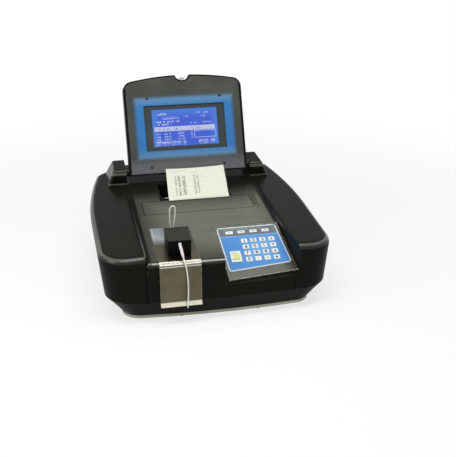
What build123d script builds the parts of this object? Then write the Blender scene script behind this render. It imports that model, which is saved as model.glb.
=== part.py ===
from build123d import *
import os
from math import atan2, cos, degrees, hypot, pi, radians, sin, sqrt, tan

os.makedirs("parts", exist_ok=True)

# A benchtop chemistry analyzer: a low black housing with raised shoulders, a display lid,
# a strip printer, a keypad, and a flow cell on a steel drip plate.
# Millimetres. X to the right, Y to the rear, Z up, origin under the middle on the bench.

# ------------------------------------------------------------------ driving dimensions
# Housing
body_width = 352.0
body_depth = 400.0
wall = 3.0
front_bulge = 11.0  # how far the front stands ahead of its own corners
front_corner_radius = 47.0
rear_curve_start = -20.0  # where the sides begin to draw in
rear_curve_radius = 720.0
rear_corner_y = 158.0  # where the sides turn in to the rear
rear_corner_radius = 20.0
rear_flat_half = 96.0  # half of the rear's flat middle
rear_flat_radius = 15.0
foot_height = 3.0
base_thickness = 5.0
break_height = 36.0  # the crease where the flanks turn in towards the base
side_undercut = 30.0
front_undercut = 17.0
flank_draft = 6.0  # the sides draw in by this much down to the crease
draft_height = 88.0  # where the housing has its full width
channel_round = 8.0
groove_depth = 2.0  # the groove between deck and shoulder
shoulder_height = 118.7
shoulder_rise = 2.84  # degrees, towards the rear
shoulder_fall = 5.0  # degrees, towards the flanks
shoulder_round = 12.0
deck_height = 116.8
deck_slope = 5.5
deck_front_round = 9.0
rear_deck_height = 125.4
rear_deck_round = 10.0
sketch_reach = 400.0  # larger than anything it cuts
block_height = 150.0  # over the shoulders

# Hinge pods
pod_ahead = 13.0  # of the hinge
pod_bend_rise = 6.5  # over the hinge
pod_top_rise = 11.0
pod_top_setback = 36.0  # behind the hinge
pod_rear_setback = 72.0
pod_foot_height = 105.0
pod_width = 34.0
pod_lean = 22.0  # degrees, the outer side
pod_round = 5.0
pod_set_in = 6.0  # from the flank, where the housing narrows
pod_boss_radius = 7.5
pod_boss_length = 8.0

# Lid, in its own plane: its face leans back
lid_width = 206.0
lid_height = 169.0
lid_depth = 17.0
lid_lean = 21.8
lid_side_gap = 5.0  # to the shoulders, with the deck between them
lid_foot_ahead = 12.0  # of the hinge
lid_foot_drop = 4.2  # under the hinge
lid_arch = 11.0
lid_corner_radius = 16.0
lid_wall = 2.2
lid_back_round = 5.0
lid_foot_round = 6.5
notch_radius = 13.0
notch_depth = 9.5
hinge_rise = 15.571  # over the deck
hinge_depth = 100.0
hinge_pin_radius = 3.0
hinge_fit = 0.05
hinge_hold = 14.0  # length of pin inside the lid
hinge_collar_radius = 8.0
bezel_thickness = 2.5
bezel_gap = 0.15
display_height = 79.0
surround_width = 141.0
surround_height = 78.2
screen_width = 114.0
screen_height = 64.0
screen_recess = 1.2
screen_thickness = 1.0
module_border = 4.0
module_thickness = 9.0
lid_screw_x = 63.5
lid_screw_low = 12.2
lid_screw_high = 130.5
screw_radius = 1.5
screw_head_radius = 2.7
screw_head_depth = 1.4
screw_boss_radius = 4.0
screw_length = 9.0
latch_width = 10.0
latch_thickness = 3.0
latch_stand = 6.0

# Deck cover and printer
cover_half_width = 93.5
cover_front = -35.5
cover_rear = 11.2
cover_thickness = 1.7
cover_gap = 0.4
cover_ledge = 6.0
grip_length = 7.0
grip_slot = 1.4
grip_pitch = 3.4
grip_count = 10
grip_depth = 0.8
bay_left = -62.0
bay_right = 58.0
bay_front = 12.2
bay_rear = 78.0
bay_gap = 0.3
printer_drop = 48.0
printer_wall = 2.5
printer_flange = 4.0
cheek = 3.6
cheek_drop = 1.0  # cheeks end this far under the deck
lip_height = 2.4
lip_thickness = 1.3
platen_radius = 6.0
platen_y = 22.3
platen_drop = 9.5
feed_wheel_radius = 8.0
feed_wheel_width = 5.0
roll_radius = 14.0  # partly used up
roll_core_radius = 7.0
roll_core_stand = 0.4
roll_y = 51.5
roll_drop = 30.0
axle_radius = 3.0
paper_width = 101.0
paper_left = -47.6
paper_thickness = 0.3
paper_foot_y = 14.7
paper_foot_z = 119.0
paper_bend_z = 121.4
paper_top_y = 85.0
paper_top_z = 147.2
paper_skew = 6.0
paper_bend_radius = 5.0

# Steel drip plate
steel_thickness = 1.0
steel_left = -92.7
steel_right = -31.9
steel_rear = -85.0
steel_foot = 31.0
steel_gap = 0.3
drip_lip_reach = 4.0
drip_lip_height = 6.5

# Flow cell
cell_left = -76.5
cell_width = 33.5
cell_front = -174.8
cell_length = 43.2
cell_height = 25.0
cell_seat_gap = 0.3
cell_round = 1.2
stem_radius = 8.0
stem_length = 12.0
stem_gap = 0.4
sleeve_radius = 2.4
tube_radius = 1.0
loop_tube_radius = 0.9

# Keypad, in its own plane
keypad_top_y = -92.5
keypad_top_z = 108.2
keypad_slope = 24.3
keypad_left = 4.3
keypad_right = 107.7
keypad_left_length = 111.0
keypad_right_length = 101.5
keypad_left_flare = 5.2
keypad_right_flare = 11.0
keypad_thickness = 4.0
keypad_gap = 0.4
overlay_thickness = 0.6
overlay_gap = 0.1
overlay_margin = 5.3
overlay_foot_margin = 16.8
overlay_corner = 4.0
key_gap = 0.3
key_corner = 1.2
key_stand = 0.7
key_floor_gap = 0.8
function_key_x = 28.0
function_key_pitch = 19.0
function_key_v = -16.6
function_key_width = 11.5
function_key_height = 5.6
digit_x = 48.0
digit_pitch_x = 14.3
digit_v = -35.4
digit_pitch_v = 12.6
digit_width = 9.6
digit_height = 8.4
sample_key_x = 28.9
sample_key_v = -65.8
sample_key_width = 16.5
sample_key_height = 21.5

# Rear panel and what it carries
panel_half_width = 84.0
panel_low = 44.0
panel_high = 111.0
panel_gap = 0.3
panel_gap_depth = 2.0
panel_flange = 4.0
inlet_x = -52.0
inlet_z = 62.0
inlet_width = 27.0
inlet_height = 20.0
inlet_depth = 22.0
inlet_recess = 16.0
inlet_wall = 2.0
blade_spread = 7.0
blade_drop = 2.5
blade_thickness = 2.0
blade_height = 4.0
switch_z = 94.0
switch_width = 21.0
switch_height = 14.0
switch_tilt = 8.0
switch_axis_y = 196.6
switch_axle_radius = 1.2
switch_axle_reach = 2.0
rocker_stand = 2.2
rocker_waist = 1.2
socket_x = -8.0
usb_width = 13.5
usb_height = 6.2
usb_z = 62.0
serial_width = 18.0
serial_height = 9.5
serial_z = 90.0
socket_depth = 12.0
socket_wall = 1.0
serial_row = 2.8
serial_hole = 0.6
fan_x = 48.0
fan_z = 78.0
fan_size = 60.0
fan_thickness = 15.0
fan_bore = 28.0
fan_hub_radius = 12.0
fan_blades = 7
fan_tip_gap = 1.0
fan_blade_thickness = 2.0
fan_axle_radius = 1.5
fan_axle_short = 3.5
strut_thickness = 2.5
vent_count = 7
vent_pitch = 7.0
vent_width = 3.4
vent_length = 46.0

# Inside
board_left = -125.0
board_front = 45.0
board_width = 125.0
board_depth = 90.0
board_thickness = 1.6
standoff_height = 6.0
standoff_radius = 3.5
chip_size = 16.0
chip_height = 2.2
chip_pitch = 34.0
supply_left = 22.0
supply_front = 52.0
supply_width = 82.0
supply_depth = 105.0
supply_height = 42.0
bench_left = -135.0
bench_front = -112.0
bench_width = 118.0
bench_depth = 66.0
bench_thickness = 12.0
beam_height = 50.0
beam_y = -92.0
upright_thickness = 9.0
upright_half = 10.0
lamp_radius = 6.0
lamp_length = 16.0
wheel_radius = 27.0
wheel_thickness = 5.0
wheel_x = -96.0
filter_ring = 19.0
filter_radius = 4.5
filter_count = 8
shaft_radius = 2.5
motor_size = 28.0
motor_length = 24.0
motor_gap = 2.0
detector_radius = 6.0
pump_x = -98.0
pump_y = -142.0
pump_radius = 19.0
pump_cavity = 15.0
pump_height = 44.0
pump_cavity_depth = 16.0
pump_roller_radius = 3.6
pump_roller_ring = 10.0
pump_rotor_gap = 0.8
foot_radius = 11.0
foot_x = 118.0
foot_y = 120.0
case_screw_radius = 2.0
case_screw_head = 3.6
case_boss_radius = 4.6
case_boss_height = 16.0

# ------------------------------------------------------------------ derived places
half_width = body_width / 2
rear_y = body_depth / 2
front_y = -rear_y + drip_lip_reach + steel_thickness + steel_gap
floor_z = foot_height + base_thickness
rear_draw_in = rear_curve_radius - sqrt(rear_curve_radius**2 - (rear_corner_y - rear_curve_start) ** 2)
tilt = tan(radians(deck_slope))
channel_half = lid_width / 2 + lid_side_gap
hinge_height = deck_height + hinge_depth * tilt + hinge_rise
lid_foot_y = hinge_depth - lid_foot_ahead
lid_foot_z = hinge_height - lid_foot_drop
pod_outer_foot = channel_half + pod_width
deck_plane = Plane((0, 0, deck_height), (1, 0, 0), (0, -sin(radians(deck_slope)), cos(radians(deck_slope))))
keypad_plane = Plane(
    (0, keypad_top_y, keypad_top_z),
    (1, 0, 0),
    (0, -sin(radians(keypad_slope)), cos(radians(keypad_slope))),
)
lid_plane = Plane(
    (0, lid_foot_y, lid_foot_z),
    (1, 0, 0),
    (0, -cos(radians(lid_lean)), sin(radians(lid_lean))),
)
hinge_local = lid_plane.to_local_coords(Vector(0, hinge_depth, hinge_height))
hinge_v = hinge_local.Y
hinge_w = hinge_local.Z


def deck_z(y):
    """Height of the sloping deck at depth y."""
    return deck_height + y * tilt


def along_deck(y):
    """Distance along the deck plane that reaches depth y on its surface."""
    return y / cos(radians(deck_slope))


# ------------------------------------------------------------------ housing
def footprint(inset, narrow=0.0):
    """Plan of the housing, drawn in by `inset` all round and by `narrow` at each side."""
    half = half_width - narrow
    rear_half = half - rear_draw_in
    with BuildSketch() as plan:
        with BuildLine():
            corner_y = front_y + front_bulge
            ThreePointArc((-half, corner_y), (0, front_y), (half, corner_y))
            Line((half, corner_y), (half, rear_curve_start))
            TangentArc((half, rear_curve_start), (rear_half, rear_corner_y), tangent=(0, 1))
            Polyline(
                (rear_half, rear_corner_y),
                (rear_flat_half, rear_y),
                (-rear_flat_half, rear_y),
                (-rear_half, rear_corner_y),
            )
            TangentArc((-half, rear_curve_start), (-rear_half, rear_corner_y), tangent=(0, 1))
            Line((-half, rear_curve_start), (-half, corner_y))
        make_face()
        fillet(plan.vertices().group_by(Axis.Y)[0], front_corner_radius)
        fillet(plan.vertices().group_by(Axis.Y)[-1], rear_flat_radius)
        turns = plan.vertices().filter_by(lambda corner: abs(corner.Y - rear_corner_y) < 0.01)
        fillet(turns, rear_corner_radius)
        if inset > 0:
            offset(amount=-inset)
    return plan.sketch


def drafted_block(inset):
    """The whole outline above the crease, widening upwards at the sides."""
    spread = flank_draft * (block_height - break_height) / (draft_height - break_height)
    with BuildPart() as block:
        with BuildSketch(Plane.XY.offset(break_height)):
            add(footprint(inset, flank_draft))
        with BuildSketch(Plane.XY.offset(block_height)):
            add(footprint(inset, flank_draft - spread))
        loft(ruled=True)
    return block.part


def shoulder_form(inset):
    """The two shoulders, each under a plane that rises to the rear and falls to the flank."""
    rise = tan(radians(shoulder_rise))
    fall = tan(radians(shoulder_fall))
    inner_x = channel_half + inset
    with BuildPart() as form:
        add(drafted_block(inset))
        top = Plane((channel_half, 0, shoulder_height - inset), z_dir=(fall, -rise, 1))
        split(bisect_by=top, keep=Keep.BOTTOM)
        fillet(form.faces().sort_by(Axis.Z)[-1].edges(), shoulder_round - inset)
        split(bisect_by=Plane.YZ.offset(inner_x), keep=Keep.TOP)
        inner_edges = form.edges().filter_by(lambda edge: abs((edge @ 0.5).X - inner_x) < 0.01)
        fillet(inner_edges.filter_by(lambda edge: (edge @ 0.5).Z > break_height + 1), channel_round - inset)
        mirror(about=Plane.YZ)
    return form.part


def deck_form(inset):
    """The deck between the shoulders, rounded over at the front and the rear."""
    with BuildPart() as form:
        add(drafted_block(inset))
        with BuildSketch(Plane.XY.offset(break_height)):
            Rectangle(2 * (channel_half + inset), sketch_reach * 2)
        extrude(amount=sketch_reach, mode=Mode.INTERSECT)
        split(bisect_by=deck_plane.offset(-inset), keep=Keep.BOTTOM)
        split(bisect_by=Plane.XY.offset(rear_deck_height - inset), keep=Keep.BOTTOM)
        tops = form.faces().filter_by(lambda face: face.normal_at().Z > 0.9).sort_by(Axis.Y)
        fillet(tops[0].edges().sort_by(Axis.Y)[0], deck_front_round - inset)
        tops = form.faces().filter_by(lambda face: face.normal_at().Z > 0.999).sort_by(Axis.Y)
        fillet(tops[-1].edges().sort_by(Axis.Y)[-1], rear_deck_round - inset)
    return form.part


def groove_form():
    """The floor of the groove between the deck and each shoulder's rounded inner edge."""
    front = front_y + front_bulge / 2
    rear = rear_y - rear_deck_round
    level_y = (rear_deck_height - deck_height) / tilt
    with BuildPart() as form:
        with BuildSketch(Plane.YZ.offset(channel_half - groove_depth)) as side:
            with BuildLine():
                Polyline(
                    (front, break_height),
                    (front, deck_z(front) - groove_depth),
                    (level_y, rear_deck_height - groove_depth),
                    (rear, rear_deck_height - groove_depth),
                    (rear, break_height),
                    close=True,
                )
            make_face()
            fillet(side.vertices().sort_by(Axis.X)[0:2].sort_by(Axis.Y)[-1], deck_front_round)
        extrude(amount=channel_round + groove_depth)
        with BuildSketch(Plane.XY.offset(break_height)):
            add(footprint(wall))
        extrude(amount=block_height, mode=Mode.INTERSECT)
        mirror(about=Plane.YZ)
    return form.part


def pod_form(inset):
    """The two hinge pods, blocks whose outer sides lean in."""
    lean = radians(pod_lean)
    with BuildPart() as form:
        with BuildSketch(Plane.YZ.offset(channel_half + inset)):
            with BuildLine():
                Polyline(
                    (hinge_depth - pod_ahead, pod_foot_height),
                    (hinge_depth - pod_ahead + 2, hinge_height + pod_bend_rise),
                    (hinge_depth + pod_top_setback, hinge_height + pod_top_rise),
                    (hinge_depth + pod_rear_setback, pod_foot_height),
                    close=True,
                )
            make_face()
            if inset > 0:
                offset(amount=-inset, kind=Kind.INTERSECTION)
        extrude(amount=pod_outer_foot - channel_half - inset)
        side = Plane((pod_outer_foot, 0, shoulder_height), z_dir=(cos(lean), 0, sin(lean)))
        split(bisect_by=side.offset(-inset), keep=Keep.BOTTOM)
        upper = form.edges().filter_by(lambda edge: (edge @ 0.5).Z > pod_foot_height + 12)
        rounded = upper.filter_by(lambda edge: (edge @ 0.5).X > channel_half + inset + 0.5)
        fillet(rounded, pod_round - inset)
        with BuildSketch(Plane.XY.offset(break_height)):
            add(footprint(pod_set_in + inset))
        extrude(amount=sketch_reach, mode=Mode.INTERSECT)
        mirror(about=Plane.YZ)
    return form.part


def keypad_pocket(inset):
    """Everything above the sloping keypad floor, open to the front."""
    run = keypad_left_length + 60
    gap = keypad_gap + inset
    with BuildPart() as form:
        with BuildSketch(keypad_plane.offset(-keypad_thickness - inset)):
            with BuildLine():
                Polyline(
                    (keypad_left - gap, gap),
                    (keypad_right + gap, gap),
                    (keypad_right + gap + keypad_right_flare * run / keypad_right_length, -run),
                    (keypad_left - gap, -run),
                    close=True,
                )
            make_face()
        extrude(amount=sketch_reach / 4)
    return form.part


def housing_form(inset):
    """The closed housing above its crease, `inset` inside its outer skin."""
    with BuildPart() as form:
        add(shoulder_form(inset))
        add(deck_form(inset))
        if inset == 0:
            add(groove_form())
        add(pod_form(inset))
        add(keypad_pocket(inset), mode=Mode.SUBTRACT)
    return form.part


def rectangle_between(left, right, low, high, mode=Mode.ADD):
    """A rectangle given by its four sides."""
    with Locations(((left + right) / 2, (low + high) / 2)):
        Rectangle(right - left, high - low, mode=mode)


with BuildPart() as top_cover:
    add(housing_form(0))
    add(housing_form(wall), mode=Mode.SUBTRACT)
    # the recess and hand hole under the deck cover
    with BuildSketch(deck_plane):
        rectangle_between(
            -cover_half_width, cover_half_width, along_deck(cover_front), along_deck(cover_rear)
        )
    extrude(amount=-(cover_thickness + 0.3), mode=Mode.SUBTRACT)
    with BuildSketch(deck_plane):
        rectangle_between(
            -cover_half_width + cover_ledge,
            cover_half_width - cover_ledge,
            along_deck(cover_front) + cover_ledge,
            along_deck(cover_rear) - cover_ledge,
        )
    extrude(amount=-wall * 2, mode=Mode.SUBTRACT)
    # the printer bay
    with BuildSketch(deck_plane.offset(wall)):
        rectangle_between(bay_left, bay_right, along_deck(bay_front), along_deck(bay_rear))
    extrude(amount=-wall * 3, mode=Mode.SUBTRACT)
    # the hole for the flow cell's stem
    with BuildSketch(deck_plane.offset(wall)):
        with Locations((cell_left + cell_width / 2, along_deck(cell_front) + cell_length / 2)):
            Circle(stem_radius + stem_gap)
    extrude(amount=-wall * 3, mode=Mode.SUBTRACT)
    # the opening for the rear panel
    with BuildSketch(Plane.XZ.offset(-rear_y)):
        rectangle_between(-panel_half_width, panel_half_width, panel_low, panel_high)
    extrude(amount=wall * 2, both=True, mode=Mode.SUBTRACT)
    # hinge bosses inside the pods, then their bores
    for side in (1, -1):
        with BuildSketch(Plane.YZ.offset(side * channel_half)):
            with Locations((hinge_depth, hinge_height)):
                Circle(pod_boss_radius)
        extrude(amount=side * pod_boss_length)
        with BuildSketch(Plane.YZ.offset(side * channel_half)):
            with Locations((hinge_depth, hinge_height)):
                Circle(hinge_pin_radius + hinge_fit)
        extrude(amount=side * pod_boss_length, mode=Mode.SUBTRACT)


def publish(piece, name):
    """Label a finished piece and write its file."""
    piece.part.label = name
    export_step(piece.part, "parts/" + name + ".step")


publish(top_cover, "top_cover")


def flank_form(inset):
    """The flanks between the crease and the base, drawn in towards the base."""
    with BuildPart() as form:
        with BuildSketch(Plane.XY.offset(floor_z)):
            add(footprint(front_undercut + inset, side_undercut - front_undercut))
        with BuildSketch(Plane.XY.offset(break_height)):
            add(footprint(inset, flank_draft))
        loft(ruled=True)
    return form.part


side_boss_x = half_width - side_undercut - wall - case_screw_radius
end_boss_in = front_undercut + wall + case_screw_radius
case_screw_spots = []
for side in (1, -1):
    case_screw_spots.append((side * side_boss_x, -foot_y / 2))
    case_screw_spots.append((side * side_boss_x, rear_curve_start))
    case_screw_spots.append((side * foot_x / 2, front_y + end_boss_in + 1.6))
    case_screw_spots.append((side * foot_x / 2, rear_y - end_boss_in))

with BuildPart() as lower_case:
    add(flank_form(0))
    add(flank_form(wall), mode=Mode.SUBTRACT)
    with BuildSketch(Plane.XY.offset(floor_z)):
        with Locations(case_screw_spots):
            Circle(case_boss_radius)
    extrude(amount=case_boss_height)
    with BuildSketch(Plane.XY.offset(floor_z)):
        with Locations(case_screw_spots):
            Circle(case_screw_radius + 0.05)
    extrude(amount=case_boss_height, mode=Mode.SUBTRACT)
publish(lower_case, "lower_case")

board_corners = []
for across in (0, 1):
    for along in (0, 1):
        board_corners.append(
            (
                board_left + standoff_radius + across * (board_width - 2 * standoff_radius),
                board_front + standoff_radius + along * (board_depth - 2 * standoff_radius),
            )
        )

with BuildPart() as base_plate:
    with BuildSketch(Plane.XY.offset(foot_height)):
        add(footprint(front_undercut + 1, side_undercut - front_undercut))
    extrude(amount=base_thickness)
    with BuildSketch(Plane.XY.offset(floor_z)):
        with Locations(board_corners):
            Circle(standoff_radius)
    extrude(amount=standoff_height)
    with BuildSketch(Plane.XY.offset(foot_height)):
        with Locations(case_screw_spots):
            Circle(case_screw_radius + 0.3)
    extrude(amount=base_thickness, mode=Mode.SUBTRACT)
publish(base_plate, "base_plate")

with BuildPart() as rubber_feet:
    with BuildSketch():
        with GridLocations(2 * foot_x, 2 * foot_y, 2, 2):
            Circle(foot_radius)
    extrude(amount=foot_height)
    chamfer(rubber_feet.edges().group_by(Axis.Z)[0], 0.6)
publish(rubber_feet, "rubber_feet")

with BuildPart() as case_screws:
    head_height = foot_height - 1.4
    with BuildSketch(Plane.XY.offset(foot_height - head_height)):
        with Locations(case_screw_spots):
            Circle(case_screw_head)
    extrude(amount=head_height)
    with BuildSketch(Plane.XY.offset(foot_height - head_height)):
        with Locations(case_screw_spots):
            Circle(case_screw_radius)
    extrude(amount=head_height + base_thickness + case_boss_height * 0.6)
publish(case_screws, "case_screws")

# ------------------------------------------------------------------ deck cover
with BuildPart() as deck_cover:
    with BuildSketch(deck_plane.offset(-cover_thickness)):
        rectangle_between(
            -cover_half_width + cover_gap,
            cover_half_width - cover_gap,
            along_deck(cover_front) + cover_gap,
            along_deck(cover_rear) - cover_gap,
        )
    extrude(amount=cover_thickness)
    with BuildSketch(deck_plane.offset(-grip_depth)):
        grip_x = cover_half_width - cover_gap - grip_length / 2 - 1.5
        with Locations((grip_x, along_deck((cover_front + cover_rear) / 2))):
            with GridLocations(grip_length, grip_pitch, 1, grip_count):
                Rectangle(grip_length, grip_slot)
    extrude(amount=grip_depth, mode=Mode.SUBTRACT)
publish(deck_cover, "deck_cover")

# ------------------------------------------------------------------ steel drip plate
plate_y = front_y - steel_gap
outer = steel_thickness
cell_x = cell_left + cell_width / 2
cell_v = along_deck(cell_front) + cell_length / 2
with BuildPart() as drip_plate:
    with BuildSketch(Plane.YZ.offset(steel_left)):
        with BuildLine():
            inner_side = FilletPolyline(
                (steel_rear, deck_z(steel_rear)),
                (plate_y, deck_z(plate_y)),
                (plate_y, steel_foot + drip_lip_height),
                (plate_y - drip_lip_reach, steel_foot),
                radius=[deck_front_round, steel_thickness],
            )
            offset(inner_side, amount=steel_thickness, side=Side.RIGHT)
        make_face()
    extrude(amount=steel_right - steel_left)
    with BuildSketch(deck_plane.offset(steel_thickness * 2)):
        with Locations((cell_x, cell_v)):
            Circle(stem_radius + stem_gap)
    extrude(amount=-steel_thickness * 3, mode=Mode.SUBTRACT)
publish(drip_plate, "drip_plate")

# ------------------------------------------------------------------ flow cell and its tubing
cell_seat = steel_thickness + cell_seat_gap
with BuildPart() as flow_cell_block:
    with BuildSketch(deck_plane.offset(cell_seat)):
        with Locations((cell_x, cell_v)):
            Rectangle(cell_width, cell_length)
    extrude(amount=cell_height)
    fillet(flow_cell_block.edges(), cell_round)
    with BuildSketch(deck_plane.offset(cell_seat)):
        with Locations((cell_x, cell_v)):
            Circle(stem_radius)
    extrude(amount=-stem_length)
publish(flow_cell_block, "flow_cell_block")

sleeve_start = Vector(-60.1, -175.9, 121.6)
sleeve_end = Vector(-57.3, -192.6, 104.6)
sleeve_run = sleeve_end - sleeve_start
with BuildPart() as tube_sleeve:
    with BuildSketch(Plane(sleeve_start, z_dir=sleeve_run)):
        Circle(sleeve_radius)
    extrude(amount=sleeve_run.length)
publish(tube_sleeve, "tube_sleeve")


def bend_radii(points):
    """The widest bend that the two runs beside each inner point allow."""
    radii = []
    for before, here, after in zip(points, points[1:], points[2:]):
        come = here - before
        leave = after - here
        half_turn = radians(come.get_angle(leave)) / 2
        radii.append(0.45 * min(come.length, leave.length) / tan(half_turn))
    return radii


def tube_along(points, radius):
    """A round tube along straight runs joined by tangent arcs."""
    radii = bend_radii(points)
    with BuildPart() as tube:
        with BuildLine() as route:
            FilletPolyline(*points, radius=radii)
        with BuildSketch(Plane(points[0], z_dir=points[1] - points[0])):
            Circle(radius)
        sweep(path=route.wire())
    print("bend radii", [round(value, 1) for value in radii])
    print("length", round(route.wire().length, 1), "volume", round(tube.part.volume, 1))
    print("section x length", round(pi * radius**2 * route.wire().length, 1))
    return tube


aspiration_route = [
    sleeve_end,
    Vector(-55.4, -203.2, 96.6),
    Vector(-53.2, -204.2, 77.0),
    Vector(-52.6, -203.4, 53.6),
    Vector(-54.3, -203.8, 30.4),
]
aspiration_tube = tube_along(aspiration_route, tube_radius)
publish(aspiration_tube, "aspiration_tube")

cell_top = cell_seat + cell_height
loop_v = along_deck(cell_front) + cell_length - 3.4
loop_route = [
    deck_plane.from_local_coords(Vector(x, loop_v + back, cell_top + rise))
    for x, back, rise in (
        (-67.1, 0.0, 0.0),
        (-68.6, 0.3, 17.0),
        (-68.2, -0.4, 36.6),
        (-59.9, -0.8, 37.0),
        (-60.6, -0.2, 17.6),
        (-63.4, 0.0, 0.0),
    )
]
tubing_loop = tube_along(loop_route, loop_tube_radius)
publish(tubing_loop, "tubing_loop")


# ------------------------------------------------------------------ keypad
def keypad_outline(margin, foot_margin, corner):
    """The keypad's own outline, drawn in by a margin and by more at its foot."""
    left_lean = keypad_left_flare / keypad_left_length
    right_lean = keypad_right_flare / keypad_right_length
    left_foot = keypad_left_length - foot_margin
    right_foot = keypad_right_length - foot_margin
    with BuildSketch() as outline:
        with BuildLine():
            Polyline(
                (keypad_left + left_lean * margin + margin, -margin),
                (keypad_right + right_lean * margin - margin, -margin),
                (keypad_right + right_lean * right_foot - margin, -right_foot),
                (keypad_left + left_lean * left_foot + margin, -left_foot),
                close=True,
            )
        make_face()
        if corner > 0:
            fillet(outline.vertices(), corner)
    return outline.sketch


# every key: its name, its centre and its size on the keypad
keys = []
for column in range(4):
    place = (function_key_x + column * function_key_pitch, function_key_v)
    keys.append(("function_key_%d" % (column + 1), place, function_key_width, function_key_height))
for row in range(4):
    for column in range(4):
        place = (digit_x + column * digit_pitch_x, digit_v - row * digit_pitch_v)
        keys.append(("key_row%d_col%d" % (row + 1, column + 1), place, digit_width, digit_height))
keys.append(("sample_key", (sample_key_x, sample_key_v), sample_key_width, sample_key_height))


def key_holes():
    """The openings that the keys rise through."""
    with BuildSketch() as holes:
        for name, place, width, height in keys:
            with Locations(place):
                RectangleRounded(width + 2 * key_gap, height + 2 * key_gap, key_corner + key_gap)
    return holes.sketch


with BuildPart() as keypad_plate:
    with BuildSketch(keypad_plane.offset(-keypad_thickness)):
        add(keypad_outline(0, 0, 0))
    extrude(amount=keypad_thickness)
    chamfer(keypad_plate.faces().sort_by(Axis(keypad_plane.origin, keypad_plane.z_dir))[-1].edges(), 0.8)
    with BuildSketch(keypad_plane.offset(-overlay_thickness)):
        add(keypad_outline(overlay_margin, overlay_foot_margin, overlay_corner))
    extrude(amount=overlay_thickness, mode=Mode.SUBTRACT)
    with BuildSketch(keypad_plane.offset(-keypad_thickness)):
        add(key_holes())
    extrude(amount=keypad_thickness, mode=Mode.SUBTRACT)
publish(keypad_plate, "keypad_plate")

with BuildPart() as keypad_overlay:
    with BuildSketch(keypad_plane.offset(-overlay_thickness)):
        add(keypad_outline(overlay_margin + overlay_gap, overlay_foot_margin + overlay_gap, overlay_corner))
        add(key_holes(), mode=Mode.SUBTRACT)
    extrude(amount=overlay_thickness)
publish(keypad_overlay, "keypad_overlay")

for name, place, width, height in keys:
    with BuildPart() as key:
        with BuildSketch(keypad_plane.offset(key_floor_gap - keypad_thickness)):
            with Locations(place):
                RectangleRounded(width, height, key_corner)
        extrude(amount=keypad_thickness - key_floor_gap + key_stand)
    publish(key, name)


# ------------------------------------------------------------------ lid
def lid_outline(inset):
    """The lid seen from its face: square at the foot, arched at the top, with a finger notch."""
    half = lid_width / 2
    with BuildSketch() as outline:
        with BuildLine():
            Polyline((-half, lid_height - lid_arch), (-half, 0), (half, 0), (half, lid_height - lid_arch))
            ThreePointArc((half, lid_height - lid_arch), (0, lid_height), (-half, lid_height - lid_arch))
        make_face()
        fillet(outline.vertices().group_by(Axis.Y)[-1], lid_corner_radius)
        if inset > 0:
            offset(amount=-inset)
        with Locations((0, lid_height - notch_depth + notch_radius)):
            Circle(notch_radius + inset, mode=Mode.SUBTRACT)
    return outline.sketch


lid_screw_spots = []
for side in (1, -1):
    lid_screw_spots.append((side * lid_screw_x, lid_screw_low))
    lid_screw_spots.append((side * lid_screw_x, lid_screw_high))

lid_normal = Axis(lid_plane.origin, lid_plane.z_dir)
cavity_foot = hinge_v + hinge_collar_radius + lid_wall
cavity_floor = -lid_depth + lid_wall

with BuildPart() as lid_back:
    with BuildSketch(lid_plane):
        add(lid_outline(0))
    extrude(amount=-lid_depth)
    foot = lid_back.faces().sort_by(Axis(lid_plane.origin, lid_plane.y_dir))[0]
    fillet(foot.edges().sort_by(lid_normal)[0], lid_foot_round)
    # the rebate for the bezel, and the hollow behind it
    with BuildSketch(lid_plane):
        add(lid_outline(lid_wall))
    extrude(amount=-bezel_thickness, mode=Mode.SUBTRACT)
    with BuildSketch(lid_plane):
        add(lid_outline(lid_wall * 2))
        rectangle_between(-lid_width, lid_width, cavity_foot, lid_height * 2, mode=Mode.INTERSECT)
    extrude(amount=cavity_floor, mode=Mode.SUBTRACT)
    with BuildSketch(lid_plane.offset(cavity_floor)):
        with Locations(lid_screw_spots):
            Circle(screw_boss_radius)
    extrude(amount=-cavity_floor - bezel_thickness)
    with BuildSketch(lid_plane.offset(-bezel_thickness)):
        with Locations(lid_screw_spots):
            Circle(screw_radius + 0.05)
    extrude(amount=-screw_length, mode=Mode.SUBTRACT)
    # bores for the hinge pins
    for side in (1, -1):
        with BuildSketch(Plane.YZ.offset(side * (lid_width / 2 - hinge_hold))):
            with Locations((hinge_depth, hinge_height)):
                Circle(hinge_pin_radius)
        extrude(amount=side * hinge_hold * 2, mode=Mode.SUBTRACT)
    # the slot for the latch tongue
    latch_foot = lid_height - notch_depth - lid_wall * 0.8
    with BuildSketch(lid_plane.offset(-lid_depth / 2 + latch_thickness / 2)):
        rectangle_between(-latch_width / 2, latch_width / 2, latch_foot, lid_height)
    extrude(amount=-latch_thickness, mode=Mode.SUBTRACT)
publish(lid_back, "lid_back")

with BuildPart() as lid_bezel:
    with BuildSketch(lid_plane.offset(-bezel_thickness)):
        add(lid_outline(lid_wall + bezel_gap))
        with Locations((0, display_height)):
            Rectangle(surround_width, surround_height, mode=Mode.SUBTRACT)
    extrude(amount=bezel_thickness)
    with BuildSketch(lid_plane.offset(-bezel_thickness)):
        with Locations(lid_screw_spots):
            Circle(screw_radius + 0.2)
    extrude(amount=bezel_thickness, mode=Mode.SUBTRACT)
    with BuildSketch(lid_plane.offset(-screw_head_depth)):
        with Locations(lid_screw_spots):
            Circle(screw_head_radius + 0.1)
    extrude(amount=screw_head_depth, mode=Mode.SUBTRACT)
publish(lid_bezel, "lid_bezel")

with BuildPart() as lid_screws:
    with BuildSketch(lid_plane.offset(-screw_head_depth)):
        with Locations(lid_screw_spots):
            Circle(screw_head_radius)
    extrude(amount=screw_head_depth - 0.3)
    with BuildSketch(lid_plane.offset(-screw_head_depth)):
        with Locations(lid_screw_spots):
            Circle(screw_radius)
    extrude(amount=-screw_length)
publish(lid_screws, "lid_screws")

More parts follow.
